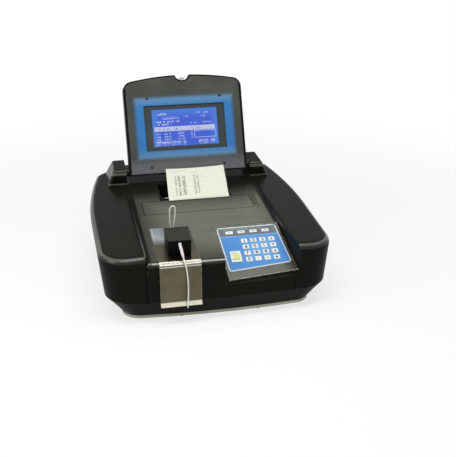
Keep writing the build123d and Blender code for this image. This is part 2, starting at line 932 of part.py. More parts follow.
with BuildPart() as lcd_module:
    with BuildSketch(lid_plane.offset(-bezel_thickness)):
        with Locations((0, display_height)):
            Rectangle(surround_width + 2 * module_border, surround_height + 2 * module_border)
    extrude(amount=-module_thickness)
    with BuildSketch(lid_plane.offset(-bezel_thickness)):
        with Locations((0, display_height)):
            Rectangle(screen_width, screen_height)
    extrude(amount=-screen_recess - screen_thickness, mode=Mode.SUBTRACT)
publish(lcd_module, "lcd_module")

with BuildPart() as lcd_window:
    with BuildSketch(lid_plane.offset(-bezel_thickness - screen_recess - screen_thickness)):
        with Locations((0, display_height)):
            Rectangle(screen_width - 2 * bezel_gap, screen_height - 2 * bezel_gap)
    extrude(amount=screen_thickness)
publish(lcd_window, "lcd_window")

with BuildPart() as hinge_pins:
    collar_start = lid_width / 2 + steel_gap
    collar_end = channel_half - steel_gap
    pin_end = channel_half + pod_boss_length - 1.0
    with BuildSketch(Plane.YZ.offset(lid_width / 2 - hinge_hold)):
        with Locations((hinge_depth, hinge_height)):
            Circle(hinge_pin_radius)
    extrude(amount=pin_end - lid_width / 2 + hinge_hold)
    with BuildSketch(Plane.YZ.offset(collar_start)):
        with Locations((hinge_depth, hinge_height)):
            Circle(hinge_collar_radius)
    extrude(amount=collar_end - collar_start)
    mirror(about=Plane.YZ)
publish(hinge_pins, "hinge_pins")

with BuildPart() as lid_latch:
    with BuildSketch(lid_plane.offset(-lid_depth / 2 + latch_thickness / 2)):
        rectangle_between(
            -latch_width / 2 + 0.05,
            latch_width / 2 - 0.05,
            latch_foot + 0.05,
            lid_height - notch_depth + latch_stand,
        )
    extrude(amount=-latch_thickness)
    tip = lid_latch.edges().filter_by(lid_normal).group_by(Axis.Z)[-1]
    fillet(tip, latch_width / 3)
publish(lid_latch, "lid_latch")

# ------------------------------------------------------------------ printer
inner_left = bay_left + bay_gap + cheek
inner_right = bay_right - bay_gap - cheek
front_v = along_deck(bay_front) + bay_gap
back_v = along_deck(bay_rear) - bay_gap


def deck_point(y, drop):
    """Where a printer axle crosses the plane x = 0."""
    return deck_plane.from_local_coords(Vector(0, along_deck(y), -drop))


platen_centre = deck_point(platen_y, platen_drop)
roll_centre = deck_point(roll_y, roll_drop)

with BuildPart() as printer_frame:
    with BuildSketch(deck_plane.offset(-printer_drop)):
        rectangle_between(bay_left + bay_gap, bay_right - bay_gap, front_v, back_v)
    extrude(amount=printer_drop - cheek_drop)
    with BuildSketch(deck_plane.offset(-wall - printer_wall)):
        rectangle_between(
            bay_left - printer_flange,
            bay_right + printer_flange,
            along_deck(bay_front) - printer_flange,
            along_deck(bay_rear) + printer_flange,
        )
    extrude(amount=printer_wall)
    with BuildSketch(deck_plane.offset(-cheek_drop)):
        rectangle_between(bay_left + bay_gap, bay_right - bay_gap, front_v, front_v + lip_thickness)
    extrude(amount=cheek_drop + lip_height)
    with BuildSketch(deck_plane.offset(-printer_drop + printer_wall)):
        rectangle_between(inner_left, inner_right, front_v + lip_thickness, back_v - printer_wall)
    extrude(amount=printer_drop, mode=Mode.SUBTRACT)
    for centre in (platen_centre, roll_centre):
        with BuildSketch(Plane.YZ.offset(bay_left - printer_flange)):
            with Locations((centre.Y, centre.Z)):
                Circle(axle_radius + hinge_fit)
        extrude(amount=bay_right - bay_left + 2 * printer_flange, mode=Mode.SUBTRACT)
publish(printer_frame, "printer_frame")

axle_left = bay_left + bay_gap + 0.3
axle_right = bay_right - bay_gap - 0.3
paper_right = paper_left + paper_width

with BuildPart() as platen_roller:
    with BuildSketch(Plane.YZ.offset(paper_left - roll_core_stand)):
        with Locations((platen_centre.Y, platen_centre.Z)):
            Circle(platen_radius)
    extrude(amount=paper_width + 2 * roll_core_stand)
    with BuildSketch(Plane.YZ.offset(inner_left + 1.0)):
        with Locations((platen_centre.Y, platen_centre.Z)):
            Circle(feed_wheel_radius)
    extrude(amount=feed_wheel_width)
    with BuildSketch(Plane.YZ.offset(axle_left)):
        with Locations((platen_centre.Y, platen_centre.Z)):
            Circle(axle_radius)
    extrude(amount=axle_right - axle_left)
publish(platen_roller, "platen_roller")

with BuildPart() as paper_roll:
    with BuildSketch(Plane.YZ.offset(paper_left)):
        with Locations((roll_centre.Y, roll_centre.Z)):
            Circle(roll_radius)
    extrude(amount=paper_width)
    with BuildSketch(Plane.YZ.offset(paper_left - roll_core_stand)):
        with Locations((roll_centre.Y, roll_centre.Z)):
            Circle(roll_core_radius)
    extrude(amount=paper_width + 2 * roll_core_stand)
    with BuildSketch(Plane.YZ.offset(axle_left)):
        with Locations((roll_centre.Y, roll_centre.Z)):
            Circle(axle_radius)
    extrude(amount=axle_right - axle_left)
publish(paper_roll, "paper_roll")

sheet_rise = Vector(0, paper_top_y - paper_foot_y, paper_top_z - paper_bend_z)
sheet_normal = Vector(1, 0, 0).cross(sheet_rise)
with BuildPart() as paper_sheet:
    # the short length that stands in the slot, then the leaning sheet
    with BuildSketch(Plane((0, paper_foot_y, paper_foot_z))):
        rectangle_between(paper_left, paper_right, -paper_thickness / 2, paper_thickness / 2)
    extrude(amount=paper_bend_z - paper_foot_z)
    with BuildSketch(Plane((0, paper_foot_y, paper_bend_z), (1, 0, 0), sheet_normal)):
        with BuildLine():
            Polyline(
                (paper_left, 0),
                (paper_right, 0),
                (paper_right + paper_skew, sheet_rise.length),
                (paper_left + paper_skew, sheet_rise.length),
                close=True,
            )
        make_face()
    extrude(amount=-paper_thickness)
publish(paper_sheet, "paper_sheet")

# ------------------------------------------------------------------ rear panel and its fittings
panel_back = rear_y - wall - panel_gap_depth
with BuildPart() as rear_panel:
    with BuildSketch(Plane.XZ.offset(-rear_y)):
        rectangle_between(
            -panel_half_width + panel_gap,
            panel_half_width - panel_gap,
            panel_low + panel_gap,
            panel_high - panel_gap,
        )
    extrude(amount=rear_y - panel_back)
    with BuildSketch(Plane.XZ.offset(-(rear_y - wall))):
        rectangle_between(
            -panel_half_width - panel_flange,
            panel_half_width + panel_flange,
            panel_low - panel_flange,
            panel_high + panel_flange,
        )
    extrude(amount=panel_gap_depth)
    with BuildSketch(Plane.XZ.offset(-rear_y)):
        with Locations((inlet_x, inlet_z)):
            Rectangle(inlet_width, inlet_height)
        with Locations((inlet_x, switch_z)):
            Rectangle(switch_width, switch_height)
        with Locations((socket_x, usb_z)):
            Rectangle(usb_width + 2 * socket_wall, usb_height + 2 * socket_wall)
        with Locations((socket_x, serial_z)):
            Rectangle(serial_width + 2 * socket_wall, serial_height + 2 * socket_wall)
        with Locations((fan_x, fan_z)):
            with GridLocations(vent_pitch, 0, vent_count, 1):
                SlotOverall(vent_length, vent_width, rotation=90)
    extrude(amount=rear_y - panel_back, mode=Mode.SUBTRACT)
    with BuildSketch(Plane.YZ.offset(inlet_x - switch_width / 2 - switch_axle_reach)):
        with Locations((switch_axis_y, switch_z)):
            Circle(switch_axle_radius + hinge_fit)
    extrude(amount=switch_width + 2 * switch_axle_reach, mode=Mode.SUBTRACT)
publish(rear_panel, "rear_panel")

with BuildPart() as power_inlet:
    with BuildSketch(Plane.XZ.offset(-rear_y)):
        with Locations((inlet_x, inlet_z)):
            Rectangle(inlet_width - 0.2, inlet_height - 0.2)
    extrude(amount=inlet_depth)
    with BuildSketch(Plane.XZ.offset(-panel_back)):
        with Locations((inlet_x, inlet_z)):
            Rectangle(inlet_width + panel_flange, inlet_height + panel_flange)
    extrude(amount=panel_gap_depth)
    with BuildSketch(Plane.XZ.offset(-rear_y)):
        with Locations((inlet_x, inlet_z)):
            Rectangle(inlet_width - 2 * inlet_wall, inlet_height - 2 * inlet_wall)
    extrude(amount=inlet_recess, mode=Mode.SUBTRACT)
    with BuildSketch(Plane.XZ.offset(-(rear_y - inlet_recess))):
        with Locations(
            (inlet_x - blade_spread, inlet_z - blade_drop),
            (inlet_x, inlet_z + blade_drop),
            (inlet_x + blade_spread, inlet_z - blade_drop),
        ):
            Rectangle(blade_thickness, blade_height)
    extrude(amount=-inlet_recess * 0.7)
publish(power_inlet, "power_inlet")

with BuildPart() as rocker_switch:
    with BuildSketch(Plane.YZ.offset(inlet_x - switch_width / 2 + panel_gap)):
        with BuildLine():
            half = switch_height / 2 - 0.6
            Polyline(
                (switch_axis_y + rocker_stand, switch_z - half),
                (switch_axis_y + rocker_waist, switch_z),
                (switch_axis_y + rocker_stand, switch_z + half),
                (switch_axis_y - rocker_waist * 2, switch_z + half / 2),
                (switch_axis_y - rocker_waist * 2, switch_z - half / 2),
                close=True,
            )
        make_face()
    extrude(amount=switch_width - 2 * panel_gap)
    with BuildSketch(Plane.YZ.offset(inlet_x - switch_width / 2 - switch_axle_reach + panel_gap)):
        with Locations((switch_axis_y, switch_z)):
            Circle(switch_axle_radius)
    extrude(amount=switch_width + 2 * (switch_axle_reach - panel_gap))
switch_axis = Axis((0, switch_axis_y, switch_z), (1, 0, 0))
rocker_switch.part = rocker_switch.part.rotate(switch_axis, -switch_tilt)
publish(rocker_switch, "rocker_switch")

with BuildPart() as data_sockets:
    with BuildSketch(Plane.XZ.offset(-rear_y)):
        with Locations((socket_x, usb_z)):
            Rectangle(usb_width + 2 * socket_wall - 0.2, usb_height + 2 * socket_wall - 0.2)
            Rectangle(usb_width, usb_height, mode=Mode.SUBTRACT)
        with Locations((socket_x, serial_z)):
            Rectangle(serial_width + 2 * socket_wall - 0.2, serial_height + 2 * socket_wall - 0.2)
    extrude(amount=socket_depth)
    with BuildSketch(Plane.XZ.offset(-(rear_y - socket_depth))):
        with Locations((socket_x, usb_z)):
            Rectangle(usb_width + 2 * socket_wall + 2, usb_height + 2 * socket_wall + 2)
        with Locations((socket_x, serial_z)):
            Rectangle(serial_width + 2 * socket_wall + 2, serial_height + 2 * socket_wall + 2)
    extrude(amount=-(socket_depth - (rear_y - panel_back)))
    with BuildSketch(Plane.XZ.offset(-(rear_y - socket_depth))):
        with Locations((socket_x, usb_z)):
            Rectangle(usb_width, usb_height)
    extrude(amount=-socket_depth + socket_wall, mode=Mode.SUBTRACT)
    with BuildSketch(Plane.XZ.offset(-rear_y)):
        for row, count in ((1, 5), (-1, 4)):
            with Locations((socket_x, serial_z + row * serial_row / 2)):
                with GridLocations(serial_row, 0, count, 1):
                    Circle(serial_hole)
    extrude(amount=socket_depth / 2, mode=Mode.SUBTRACT)
publish(data_sockets, "data_sockets")

# ------------------------------------------------------------------ fan
fan_front = panel_back - fan_thickness
with BuildPart() as fan_frame:
    with BuildSketch(Plane.XZ.offset(-panel_back)):
        with Locations((fan_x, fan_z)):
            RectangleRounded(fan_size, fan_size, 4)
            Circle(fan_bore, mode=Mode.SUBTRACT)
    extrude(amount=fan_thickness)
    with BuildSketch(Plane.XZ.offset(-fan_front - strut_thickness)):
        with Locations((fan_x, fan_z)):
            Circle(fan_hub_radius)
            with PolarLocations(0, 3):
                with Locations((fan_bore / 2, 0)):
                    Rectangle(fan_bore + 2, strut_thickness)
    extrude(amount=strut_thickness)
    with BuildSketch(Plane.XZ.offset(-fan_front - strut_thickness)):
        with Locations((fan_x, fan_z)):
            Circle(fan_axle_radius)
    extrude(amount=-(fan_thickness - strut_thickness - fan_axle_short))
publish(fan_frame, "fan_frame")

rotor_length = fan_thickness - strut_thickness - 1.5
with BuildPart() as fan_rotor:
    with BuildSketch(Plane.XZ.offset(-(panel_back - 1.0))):
        with Locations((fan_x, fan_z)):
            Circle(fan_hub_radius)
    extrude(amount=rotor_length)
    with BuildSketch(Plane.XZ.offset(-(panel_back - 2.0))):
        with Locations((fan_x, fan_z)):
            with PolarLocations(0, fan_blades):
                with Locations(((fan_hub_radius + fan_bore - fan_tip_gap) / 2, 0)):
                    Rectangle(fan_bore - fan_tip_gap - fan_hub_radius + 1.0, fan_blade_thickness)
    extrude(amount=rotor_length - 2.0)
    with BuildSketch(Plane.XZ.offset(-(panel_back - 1.0 - rotor_length))):
        with Locations((fan_x, fan_z)):
            Circle(fan_axle_radius + hinge_fit)
    extrude(amount=-(rotor_length - 1.5), mode=Mode.SUBTRACT)
publish(fan_rotor, "fan_rotor")

# ------------------------------------------------------------------ boards, supply and optics
with BuildPart() as main_board:
    with BuildSketch(Plane.XY.offset(floor_z + standoff_height)):
        rectangle_between(board_left, board_left + board_width, board_front, board_front + board_depth)
    extrude(amount=board_thickness)
    with BuildSketch(Plane.XY.offset(floor_z + standoff_height + board_thickness)):
        with Locations((board_left + board_width / 2, board_front + board_depth / 2)):
            with GridLocations(chip_pitch, chip_pitch, 3, 2):
                Rectangle(chip_size, chip_size)
    extrude(amount=chip_height)
publish(main_board, "main_board")

with BuildPart() as power_supply:
    with BuildSketch(Plane.XY.offset(floor_z)):
        rectangle_between(supply_left, supply_left + supply_width, supply_front, supply_front + supply_depth)
    extrude(amount=supply_height)
    top = power_supply.faces().sort_by(Axis.Z)[-1]
    with BuildSketch(top):
        with GridLocations(0, vent_pitch, 1, vent_count):
            SlotOverall(supply_width * 0.7, vent_width)
    extrude(amount=-1.5, mode=Mode.SUBTRACT)
publish(power_supply, "power_supply")

bench_top = floor_z + bench_thickness
bench_right = bench_left + bench_width
wheel_axis_y = beam_y + filter_ring
motor_left = wheel_x + wheel_thickness + motor_gap
with BuildPart() as optics_bench:
    with BuildSketch(Plane.XY.offset(floor_z)):
        rectangle_between(bench_left, bench_right, bench_front, bench_front + bench_depth)
    extrude(amount=bench_thickness)
    with BuildSketch(Plane.XY.offset(bench_top)):
        rectangle_between(
            bench_left, bench_left + upright_thickness, beam_y - upright_half, beam_y + upright_half
        )
        rectangle_between(
            bench_right - upright_thickness, bench_right, beam_y - upright_half, beam_y + upright_half
        )
        rectangle_between(
            motor_left, motor_left + motor_length, wheel_axis_y - motor_size / 2, wheel_axis_y + motor_size / 2
        )
    extrude(amount=beam_height - motor_size / 2 - bench_top)
    with BuildSketch(Plane.XY.offset(bench_top)):
        rectangle_between(
            bench_left, bench_left + upright_thickness, beam_y - upright_half, beam_y + upright_half
        )
        rectangle_between(
            bench_right - upright_thickness, bench_right, beam_y - upright_half, beam_y + upright_half
        )
    extrude(amount=beam_height + upright_half - bench_top)
    with BuildSketch(Plane.YZ.offset(bench_left)):
        with Locations((beam_y, beam_height)):
            Circle(lamp_radius)
    extrude(amount=bench_width, mode=Mode.SUBTRACT)
publish(optics_bench, "optics_bench")

with BuildPart() as halogen_lamp:
    with BuildSketch(Plane.YZ.offset(bench_left)):
        with Locations((beam_y, beam_height)):
            Circle(lamp_radius - 0.1)
    extrude(amount=upright_thickness + 2)
    with BuildSketch(Plane.YZ.offset(bench_left + upright_thickness + 2)):
        with Locations((beam_y, beam_height)):
            Circle(lamp_radius * 0.7)
    extrude(amount=lamp_length * 0.6)
    fillet(halogen_lamp.edges().sort_by(Axis.X)[-1], lamp_radius * 0.6)
publish(halogen_lamp, "halogen_lamp")

with BuildPart() as filter_wheel:
    with BuildSketch(Plane.YZ.offset(wheel_x)):
        with Locations((wheel_axis_y, beam_height)):
            Circle(wheel_radius)
            with PolarLocations(filter_ring, filter_count):
                Circle(filter_radius, mode=Mode.SUBTRACT)
    extrude(amount=wheel_thickness)
    with BuildSketch(Plane.YZ.offset(wheel_x)):
        with Locations((wheel_axis_y, beam_height)):
            Circle(shaft_radius)
    extrude(amount=wheel_thickness + motor_gap + motor_length * 0.8)
publish(filter_wheel, "filter_wheel")

with BuildPart() as filter_motor:
    with BuildSketch(Plane.YZ.offset(motor_left)):
        with Locations((wheel_axis_y, beam_height)):
            Rectangle(motor_size, motor_size)
    extrude(amount=motor_length)
    chamfer(filter_motor.edges().filter_by(Axis.X), 2.5)
    with BuildSketch(Plane.YZ.offset(motor_left)):
        with Locations((wheel_axis_y, beam_height)):
            Circle(shaft_radius + hinge_fit)
    extrude(amount=motor_length * 0.85, mode=Mode.SUBTRACT)
publish(filter_motor, "filter_motor")

with BuildPart() as light_detector:
    with BuildSketch(Plane.YZ.offset(bench_right - upright_thickness)):
        with Locations((beam_y, beam_height)):
            Circle(lamp_radius - 0.1)
    extrude(amount=upright_thickness)
    with BuildSketch(Plane.YZ.offset(bench_right)):
        with Locations((beam_y, beam_height)):
            Rectangle(upright_half * 1.4, upright_half * 1.4)
    extrude(amount=board_thickness)
publish(light_detector, "light_detector")

# ------------------------------------------------------------------ pump
pump_top = floor_z + pump_height
with BuildPart() as pump_head:
    with BuildSketch(Plane.XY.offset(floor_z)):
        with Locations((pump_x, pump_y)):
            RectangleRounded(2 * pump_radius, 2 * pump_radius, 5)
    extrude(amount=pump_height)
    with BuildSketch(Plane.XY.offset(pump_top - pump_cavity_depth)):
        with Locations((pump_x, pump_y)):
            Circle(pump_cavity)
    extrude(amount=pump_cavity_depth, mode=Mode.SUBTRACT)
    with BuildSketch(Plane.XY.offset(pump_top - pump_cavity_depth)):
        with Locations((pump_x, pump_y)):
            Circle(shaft_radius + hinge_fit)
    extrude(amount=-pump_cavity_depth, mode=Mode.SUBTRACT)
publish(pump_head, "pump_head")

with BuildPart() as pump_rotor:
    rotor_low = pump_top - pump_cavity_depth + pump_rotor_gap
    with BuildSketch(Plane.XY.offset(rotor_low)):
        with Locations((pump_x, pump_y)):
            Circle(pump_roller_ring)
            with PolarLocations(pump_roller_ring, 3):
                Circle(pump_roller_radius)
    extrude(amount=pump_cavity_depth - 2 * pump_rotor_gap)
    with BuildSketch(Plane.XY.offset(rotor_low)):
        with Locations((pump_x, pump_y)):
            Circle(shaft_radius)
    extrude(amount=-pump_cavity_depth + 2.0)
publish(pump_rotor, "pump_rotor")
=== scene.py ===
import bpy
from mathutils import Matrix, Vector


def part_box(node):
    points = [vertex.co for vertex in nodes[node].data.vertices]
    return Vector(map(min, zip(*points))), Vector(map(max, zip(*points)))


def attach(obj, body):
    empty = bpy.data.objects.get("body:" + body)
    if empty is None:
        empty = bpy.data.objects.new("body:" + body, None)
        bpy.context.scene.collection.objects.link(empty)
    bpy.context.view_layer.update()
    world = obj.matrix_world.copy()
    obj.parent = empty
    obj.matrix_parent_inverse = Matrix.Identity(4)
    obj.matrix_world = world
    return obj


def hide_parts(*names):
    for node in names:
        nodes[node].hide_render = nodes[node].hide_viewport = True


bl_info = {
    "name": "Benchtop Analyzer",
    "version": (1, 0, 0),
    "blender": (4, 5, 0),
    "location": "View3D > Sidebar > Analyzer",
    "description": "Dresses the benchtop chemistry analyzer: finishes, print, display, tubing and studio",
    "category": "Add Mesh",
}

from math import cos, pi, radians, sin

import bmesh
import bpy
from bpy.props import FloatProperty, FloatVectorProperty, PointerProperty
from mathutils import Matrix, Vector

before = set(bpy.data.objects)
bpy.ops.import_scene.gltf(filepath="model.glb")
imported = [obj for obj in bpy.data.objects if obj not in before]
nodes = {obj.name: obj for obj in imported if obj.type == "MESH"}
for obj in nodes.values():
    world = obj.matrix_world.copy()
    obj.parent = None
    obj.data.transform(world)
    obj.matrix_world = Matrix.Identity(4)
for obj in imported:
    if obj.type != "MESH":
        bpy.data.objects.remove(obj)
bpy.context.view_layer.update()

MM = 0.001  # metres in a millimetre


# ---------------------------------------------------------------- the panels of the instrument
def leaning_panel(y, z, lean):
    """Axes of a panel whose face leans back by `lean` degrees from level: X, up along it, out of it."""
    tilt = radians(lean)
    axes = Matrix(((1, 0, 0), (0, cos(tilt), sin(tilt)), (0, -sin(tilt), cos(tilt))))
    place = axes.transposed().to_4x4()
    place.translation = Vector((0, y * MM, z * MM))
    return place


deck_panel = leaning_panel(0.0, 116.8, 5.5)
keypad_panel = leaning_panel(-92.5, 108.2, 24.3)
lid_panel = leaning_panel(88.0, 137.8, 90 - 21.8)

# the loop's two fittings on top of the flow cell: across, along and over the deck
fitting_columns = (-67.1, -63.4)
fitting_row = -132.4 - 3.2
cell_top = 26.3


def on_panel(panel, across, along, out=0.0):
    """A place given in millimetres on a panel, with the panel's own axes."""
    return panel @ Matrix.Translation((across * MM, along * MM, out * MM))


# ---------------------------------------------------------------- settings
def swatch(name, description, default):
    """A linear colour."""
    return FloatVectorProperty(
        name=name, description=description, subtype="COLOR", size=3, min=0, max=1, default=default
    )


def metres(name, description, default):
    """A length in metres."""
    return FloatProperty(name=name, description=description, unit="LENGTH", min=0, default=default)


def fraction(name, description, default):
    """A value from 0 to 1."""
    return FloatProperty(name=name, description=description, subtype="FACTOR", min=0, max=1, default=default)


def strength(name, description, default):
    """A lamp's power in watts, or another value that only has to be positive."""
    return FloatProperty(name=name, description=description, min=0, default=default)


def angle(name, description, degrees):
    """An angle, given in degrees."""
    return FloatProperty(name=name, description=description, subtype="ANGLE", default=radians(degrees))


class HousingSettings(bpy.types.PropertyGroup):
    shell_colour: swatch("Shell", "Moulded plastic of the housing", (0.0070, 0.0068, 0.0045))
    # the deck's paler patch is partly dust and partly a painted sheen
    deck_colour: swatch("Deck", "Rubbed and dusty face of the deck", (0.163, 0.170, 0.134))
    base_colour: swatch("Base", "Painted steel base", (0.58, 0.58, 0.48))
    shell_roughness: fraction("Shell roughness", "How dull the moulded plastic is", 0.34)
    skin: fraction("Glossy skin", "Weight of the clear, smooth skin on the moulded plastic", 0.10)
    rubbed_skin: fraction("Rubbed skin", "Weight of that skin on rubbed edges", 0.70)
    skin_roughness: fraction("Skin roughness", "How dull that skin is", 0.19)
    grain_height: metres("Grain height", "Depth of the moulded grain", 0.00002)


class LidSettings(bpy.types.PropertyGroup):
    face_colour: swatch("Face", "Textured face of the lid", (0.080, 0.085, 0.075))
    print_low: swatch("Print, low", "Printed field beside the screen", (0.048, 0.205, 0.500))
    print_high: swatch("Print, high", "Printed field above and below the screen", (0.130, 0.280, 0.470))
    print_width: metres("Print width", "Width of the printed field", 0.1700)
    print_height: metres("Print height", "Height of the printed field", 0.1036)
    print_fade: metres("Print fade", "Width over which the printed field fades out", 0.0090)


class DisplaySettings(bpy.types.PropertyGroup):
    ground_colour: swatch("Ground", "Backlit blue of the display", (0.042, 0.120, 0.780))
    mark_colour: swatch("Marks", "Lit marks on the display", (0.62, 0.72, 0.98))
    bar_colour: swatch("Bar", "The highlighted row", (0.60, 0.66, 0.93))
    glow: fraction("Glow", "Strength of the backlight", 0.52)


class KeypadSettings(bpy.types.PropertyGroup):
    field_colour: swatch("Field", "Blue field of the overlay", (0.042, 0.215, 0.560))
    field_light: swatch("Field, lighter", "Blue field towards the key block", (0.125, 0.360, 0.740))
    header_colour: swatch("Header", "Band behind the function keys", (0.115, 0.140, 0.155))
    key_colour: swatch("Keys", "Key caps", (0.800, 0.830, 0.800))
    legend_colour: swatch("Legends", "Digits on the keys", (0.030, 0.032, 0.040))
    plate_colour: swatch("Plate", "Satin plate under the overlay", (0.092, 0.098, 0.082))


class MetalSettings(bpy.types.PropertyGroup):
    steel_colour: swatch("Steel", "Brushed steel of the drip plate", (0.108, 0.097, 0.060))
    steel_roughness: fraction("Steel roughness", "How dull the brushed steel is", 0.30)
    cell_colour: swatch("Cell", "Black anodised flow cell", (0.0050, 0.0052, 0.0042))


class PaperSettings(bpy.types.PropertyGroup):
    paper_colour: swatch("Paper", "Printer paper", (0.780, 0.790, 0.665))
    ink_colour: swatch("Ink", "Printed marks", (0.030, 0.034, 0.024))
    curl: metres("Curl", "How far the sheet's middle stands off a flat plane", 0.0025)


class TubeSettings(bpy.types.PropertyGroup):
    tube_colour: swatch("Tube", "Thin white tubing", (0.800, 0.810, 0.740))
    sleeve_colour: swatch("Sleeve", "Soft sleeve at the cell's outlet", (0.700, 0.650, 0.650))
    tube_diameter: metres("Tube diameter", "Outer diameter of the aspiration tube", 0.0020)
    loop_diameter: metres("Loop diameter", "Outer diameter of the tubing loop", 0.0018)


class StudioSettings(bpy.types.PropertyGroup):
    focal_pixels: strength("Focal length", "In pixels of the photograph", 850.0)
    camera_yaw: angle("Yaw", "Camera heading, from +Y towards +X", 12.2)
    camera_pitch: angle("Pitch", "Camera tilt below level", 22.5)
    camera_place: FloatVectorProperty(
        name="Camera", description="Where the camera stands", subtype="XYZ", unit="LENGTH",
        default=(-0.2298, -1.2918, 0.6111),
    )
    floor_colour: swatch("Floor", "The pale bench top", (0.93, 0.93, 0.92))
    room_light: strength("Room", "Strength of the even room light", 0.27)
    key_power: strength("Key", "Main softbox, in watts", 3.8)
    fill_power: strength("Fill", "Softbox at the side, in watts", 6.0)
    front_tube_power: strength("Front tube", "Long ceiling tube in front of the instrument, in watts", 12.0)
    tube_power: strength("Other tubes", "Each tube farther back, in watts", 2.5)


class AnalyzerSettings(bpy.types.PropertyGroup):
    housing: PointerProperty(type=HousingSettings)
    lid: PointerProperty(type=LidSettings)
    display: PointerProperty(type=DisplaySettings)
    keypad: PointerProperty(type=KeypadSettings)
    metal: PointerProperty(type=MetalSettings)
    paper: PointerProperty(type=PaperSettings)
    tube: PointerProperty(type=TubeSettings)
    studio: PointerProperty(type=StudioSettings)


def settings():
    """The instrument's settings on the current scene."""
    return bpy.context.scene.analyzer


# ---------------------------------------------------------------- building shader trees
class Signal:
    """What one shader node puts out. Sums written with it become Math nodes."""

    def __init__(self, wiring, socket):
        self.wiring = wiring
        self.socket = socket

    def maths(self, operation, second=0.0, third=0.0, clamp=False):
        return self.wiring.maths(operation, self, second, third, clamp)

    def __add__(self, other):
        return self.maths("ADD", other)

    def __sub__(self, other):
        return self.maths("SUBTRACT", other)

    def __rsub__(self, other):
        return self.wiring.maths("SUBTRACT", other, self)

    def __mul__(self, other):
        return self.maths("MULTIPLY", other)

    def __truediv__(self, other):
        return self.maths("DIVIDE", other)

    def __rtruediv__(self, other):
        return self.wiring.maths("DIVIDE", other, self)

    def __abs__(self):
        return self.maths("ABSOLUTE")

    def line(self, factor, plus):
        """`factor` times this, and `plus`."""
        return self.maths("MULTIPLY_ADD", factor, plus)

    def wave(self, length):
        """A sine with a given wavelength."""
        return (self * (2 * pi / length)).maths("SINE")

    def ramp(self, low, high, to_low=0.0, to_high=1.0):
        """The span from low to high carried over to another, smoothly at both ends."""
        inputs = {"Value": self, "From Min": low, "From Max": high, "To Min": to_low, "To Max": to_high}
        return self.wiring.node("MapRange", inputs, "Result", interpolation_type="SMOOTHSTEP")


def combine(operation, *signals):
    """One signal from several, by a Math operation such as MAXIMUM."""
    result = signals[0]
    for signal in signals[1:]:
        result = result.maths(operation, signal)
    return result


class Wiring:
    """A shader tree being filled, with short ways to add nodes and link them."""

    def __init__(self, tree):
        self.tree = tree

    def feed(self, socket, value):
        """Links a signal to a socket, or gives the socket a value or a colour."""
        if isinstance(value, Signal):
            self.tree.links.new(value.socket, socket)
        elif socket.type == "RGBA":
            socket.default_value = (*value[:3], 1.0)
        else:
            socket.default_value = value

    def node(self, kind, inputs=None, output=0, **options):
        """One output of a new node."""
        node = self.tree.nodes.new("ShaderNode" + kind)
        for option, value in options.items():
            setattr(node, option, value)
        for name, value in (inputs or {}).items():
            self.feed(node.inputs[name], value)
        return Signal(self, node.outputs[output])

    def group(self, name, **values):
        """The outputs of one copy of a node group; underscores stand for spaces."""
        node = self.tree.nodes.new("ShaderNodeGroup")
        node.node_tree = bpy.data.node_groups[name]
        for key, value in values.items():
            self.feed(node.inputs[key.replace("_", " ")], value)
        return [Signal(self, output) for output in node.outputs]

    def maths(self, operation, first, second=0.0, third=0.0, clamp=False):
        return self.node("Math", {0: first, 1: second, 2: third}, operation=operation, use_clamp=clamp)

    def vector(self, operation, *values, output=0):
        """One Vector Math node; the second value of SCALE is a plain number."""
        names = (0, "Scale") if operation == "SCALE" else (0, 1)
        return self.node("VectorMath", dict(zip(names, values)), output, operation=operation)

    def mix(self, share, under, over):
        """The colour `over` laid on `under` by `share`."""
        return self.node("Mix", {0: share, 6: under, 7: over}, 2, data_type="RGBA")

    def place(self):
        """The object's own coordinates."""
        return self.node("TexCoord", output="Object")

    def faces_up(self):
        """1 where the surface faces up, 0 where it is upright."""
        return self.node("SeparateXYZ", {0: self.node("NewGeometry", output="Normal")}, "Z")

    def noise(self, scale, detail=2.0, roughness=0.5, at=None):
        inputs = {"Scale": scale, "Detail": detail, "Roughness": roughness, "Vector": at or self.place()}
        return self.node("TexNoise", inputs, "Fac")

    def rectangle(self, spot, centre, half, fade):
        """Mask of a soft-edged rectangle at `spot`, which is across and along a panel in millimetres."""
        return self.group(
            "Soft rectangle", Across=spot[0], Along=spot[1], Centre_across=centre[0], Centre_along=centre[1],
            Half_width=half[0], Half_height=half[1], Fade=fade,
        )[0]

    def marks(self, spot, cell, filled, seed):
        """Mask of plain marks in cells of a given width and height."""
        return self.group(
            "Dot marks", Across=spot[0], Along=spot[1], Cell_width=cell[0], Cell_height=cell[1],
            Filled=filled, Seed=seed,
        )[0]

    def wear(self, reach, amount):
        return self.group("Edge wear", Reach=reach, Amount=amount)[0]


class Group(Wiring):
    """A shader node group being made. A default's length tells an input's kind."""

    def __init__(self, name, outputs, **inputs):
        super().__init__(bpy.data.node_groups.new(name, "ShaderNodeTree"))
        new_socket = self.tree.interface.new_socket
        for key, default in inputs.items():
            kind = {3: "Vector", 4: "Color"}[len(default)] if isinstance(default, tuple) else "Float"
            label = key.replace("_", " ")
            new_socket(label, in_out="INPUT", socket_type="NodeSocket" + kind).default_value = default
        for label in outputs.split():
            kind = "Color" if label == "Colour" else "Float"
            new_socket(label, in_out="OUTPUT", socket_type="NodeSocket" + kind)
        entry = self.tree.nodes.new("NodeGroupInput")
        self.given = [Signal(self, entry.outputs[key.replace("_", " ")]) for key in inputs]
        self.leave = self.tree.nodes.new("NodeGroupOutput").inputs

    def send(self, **values):
        for label, value in values.items():
            self.feed(self.leave[label], value)


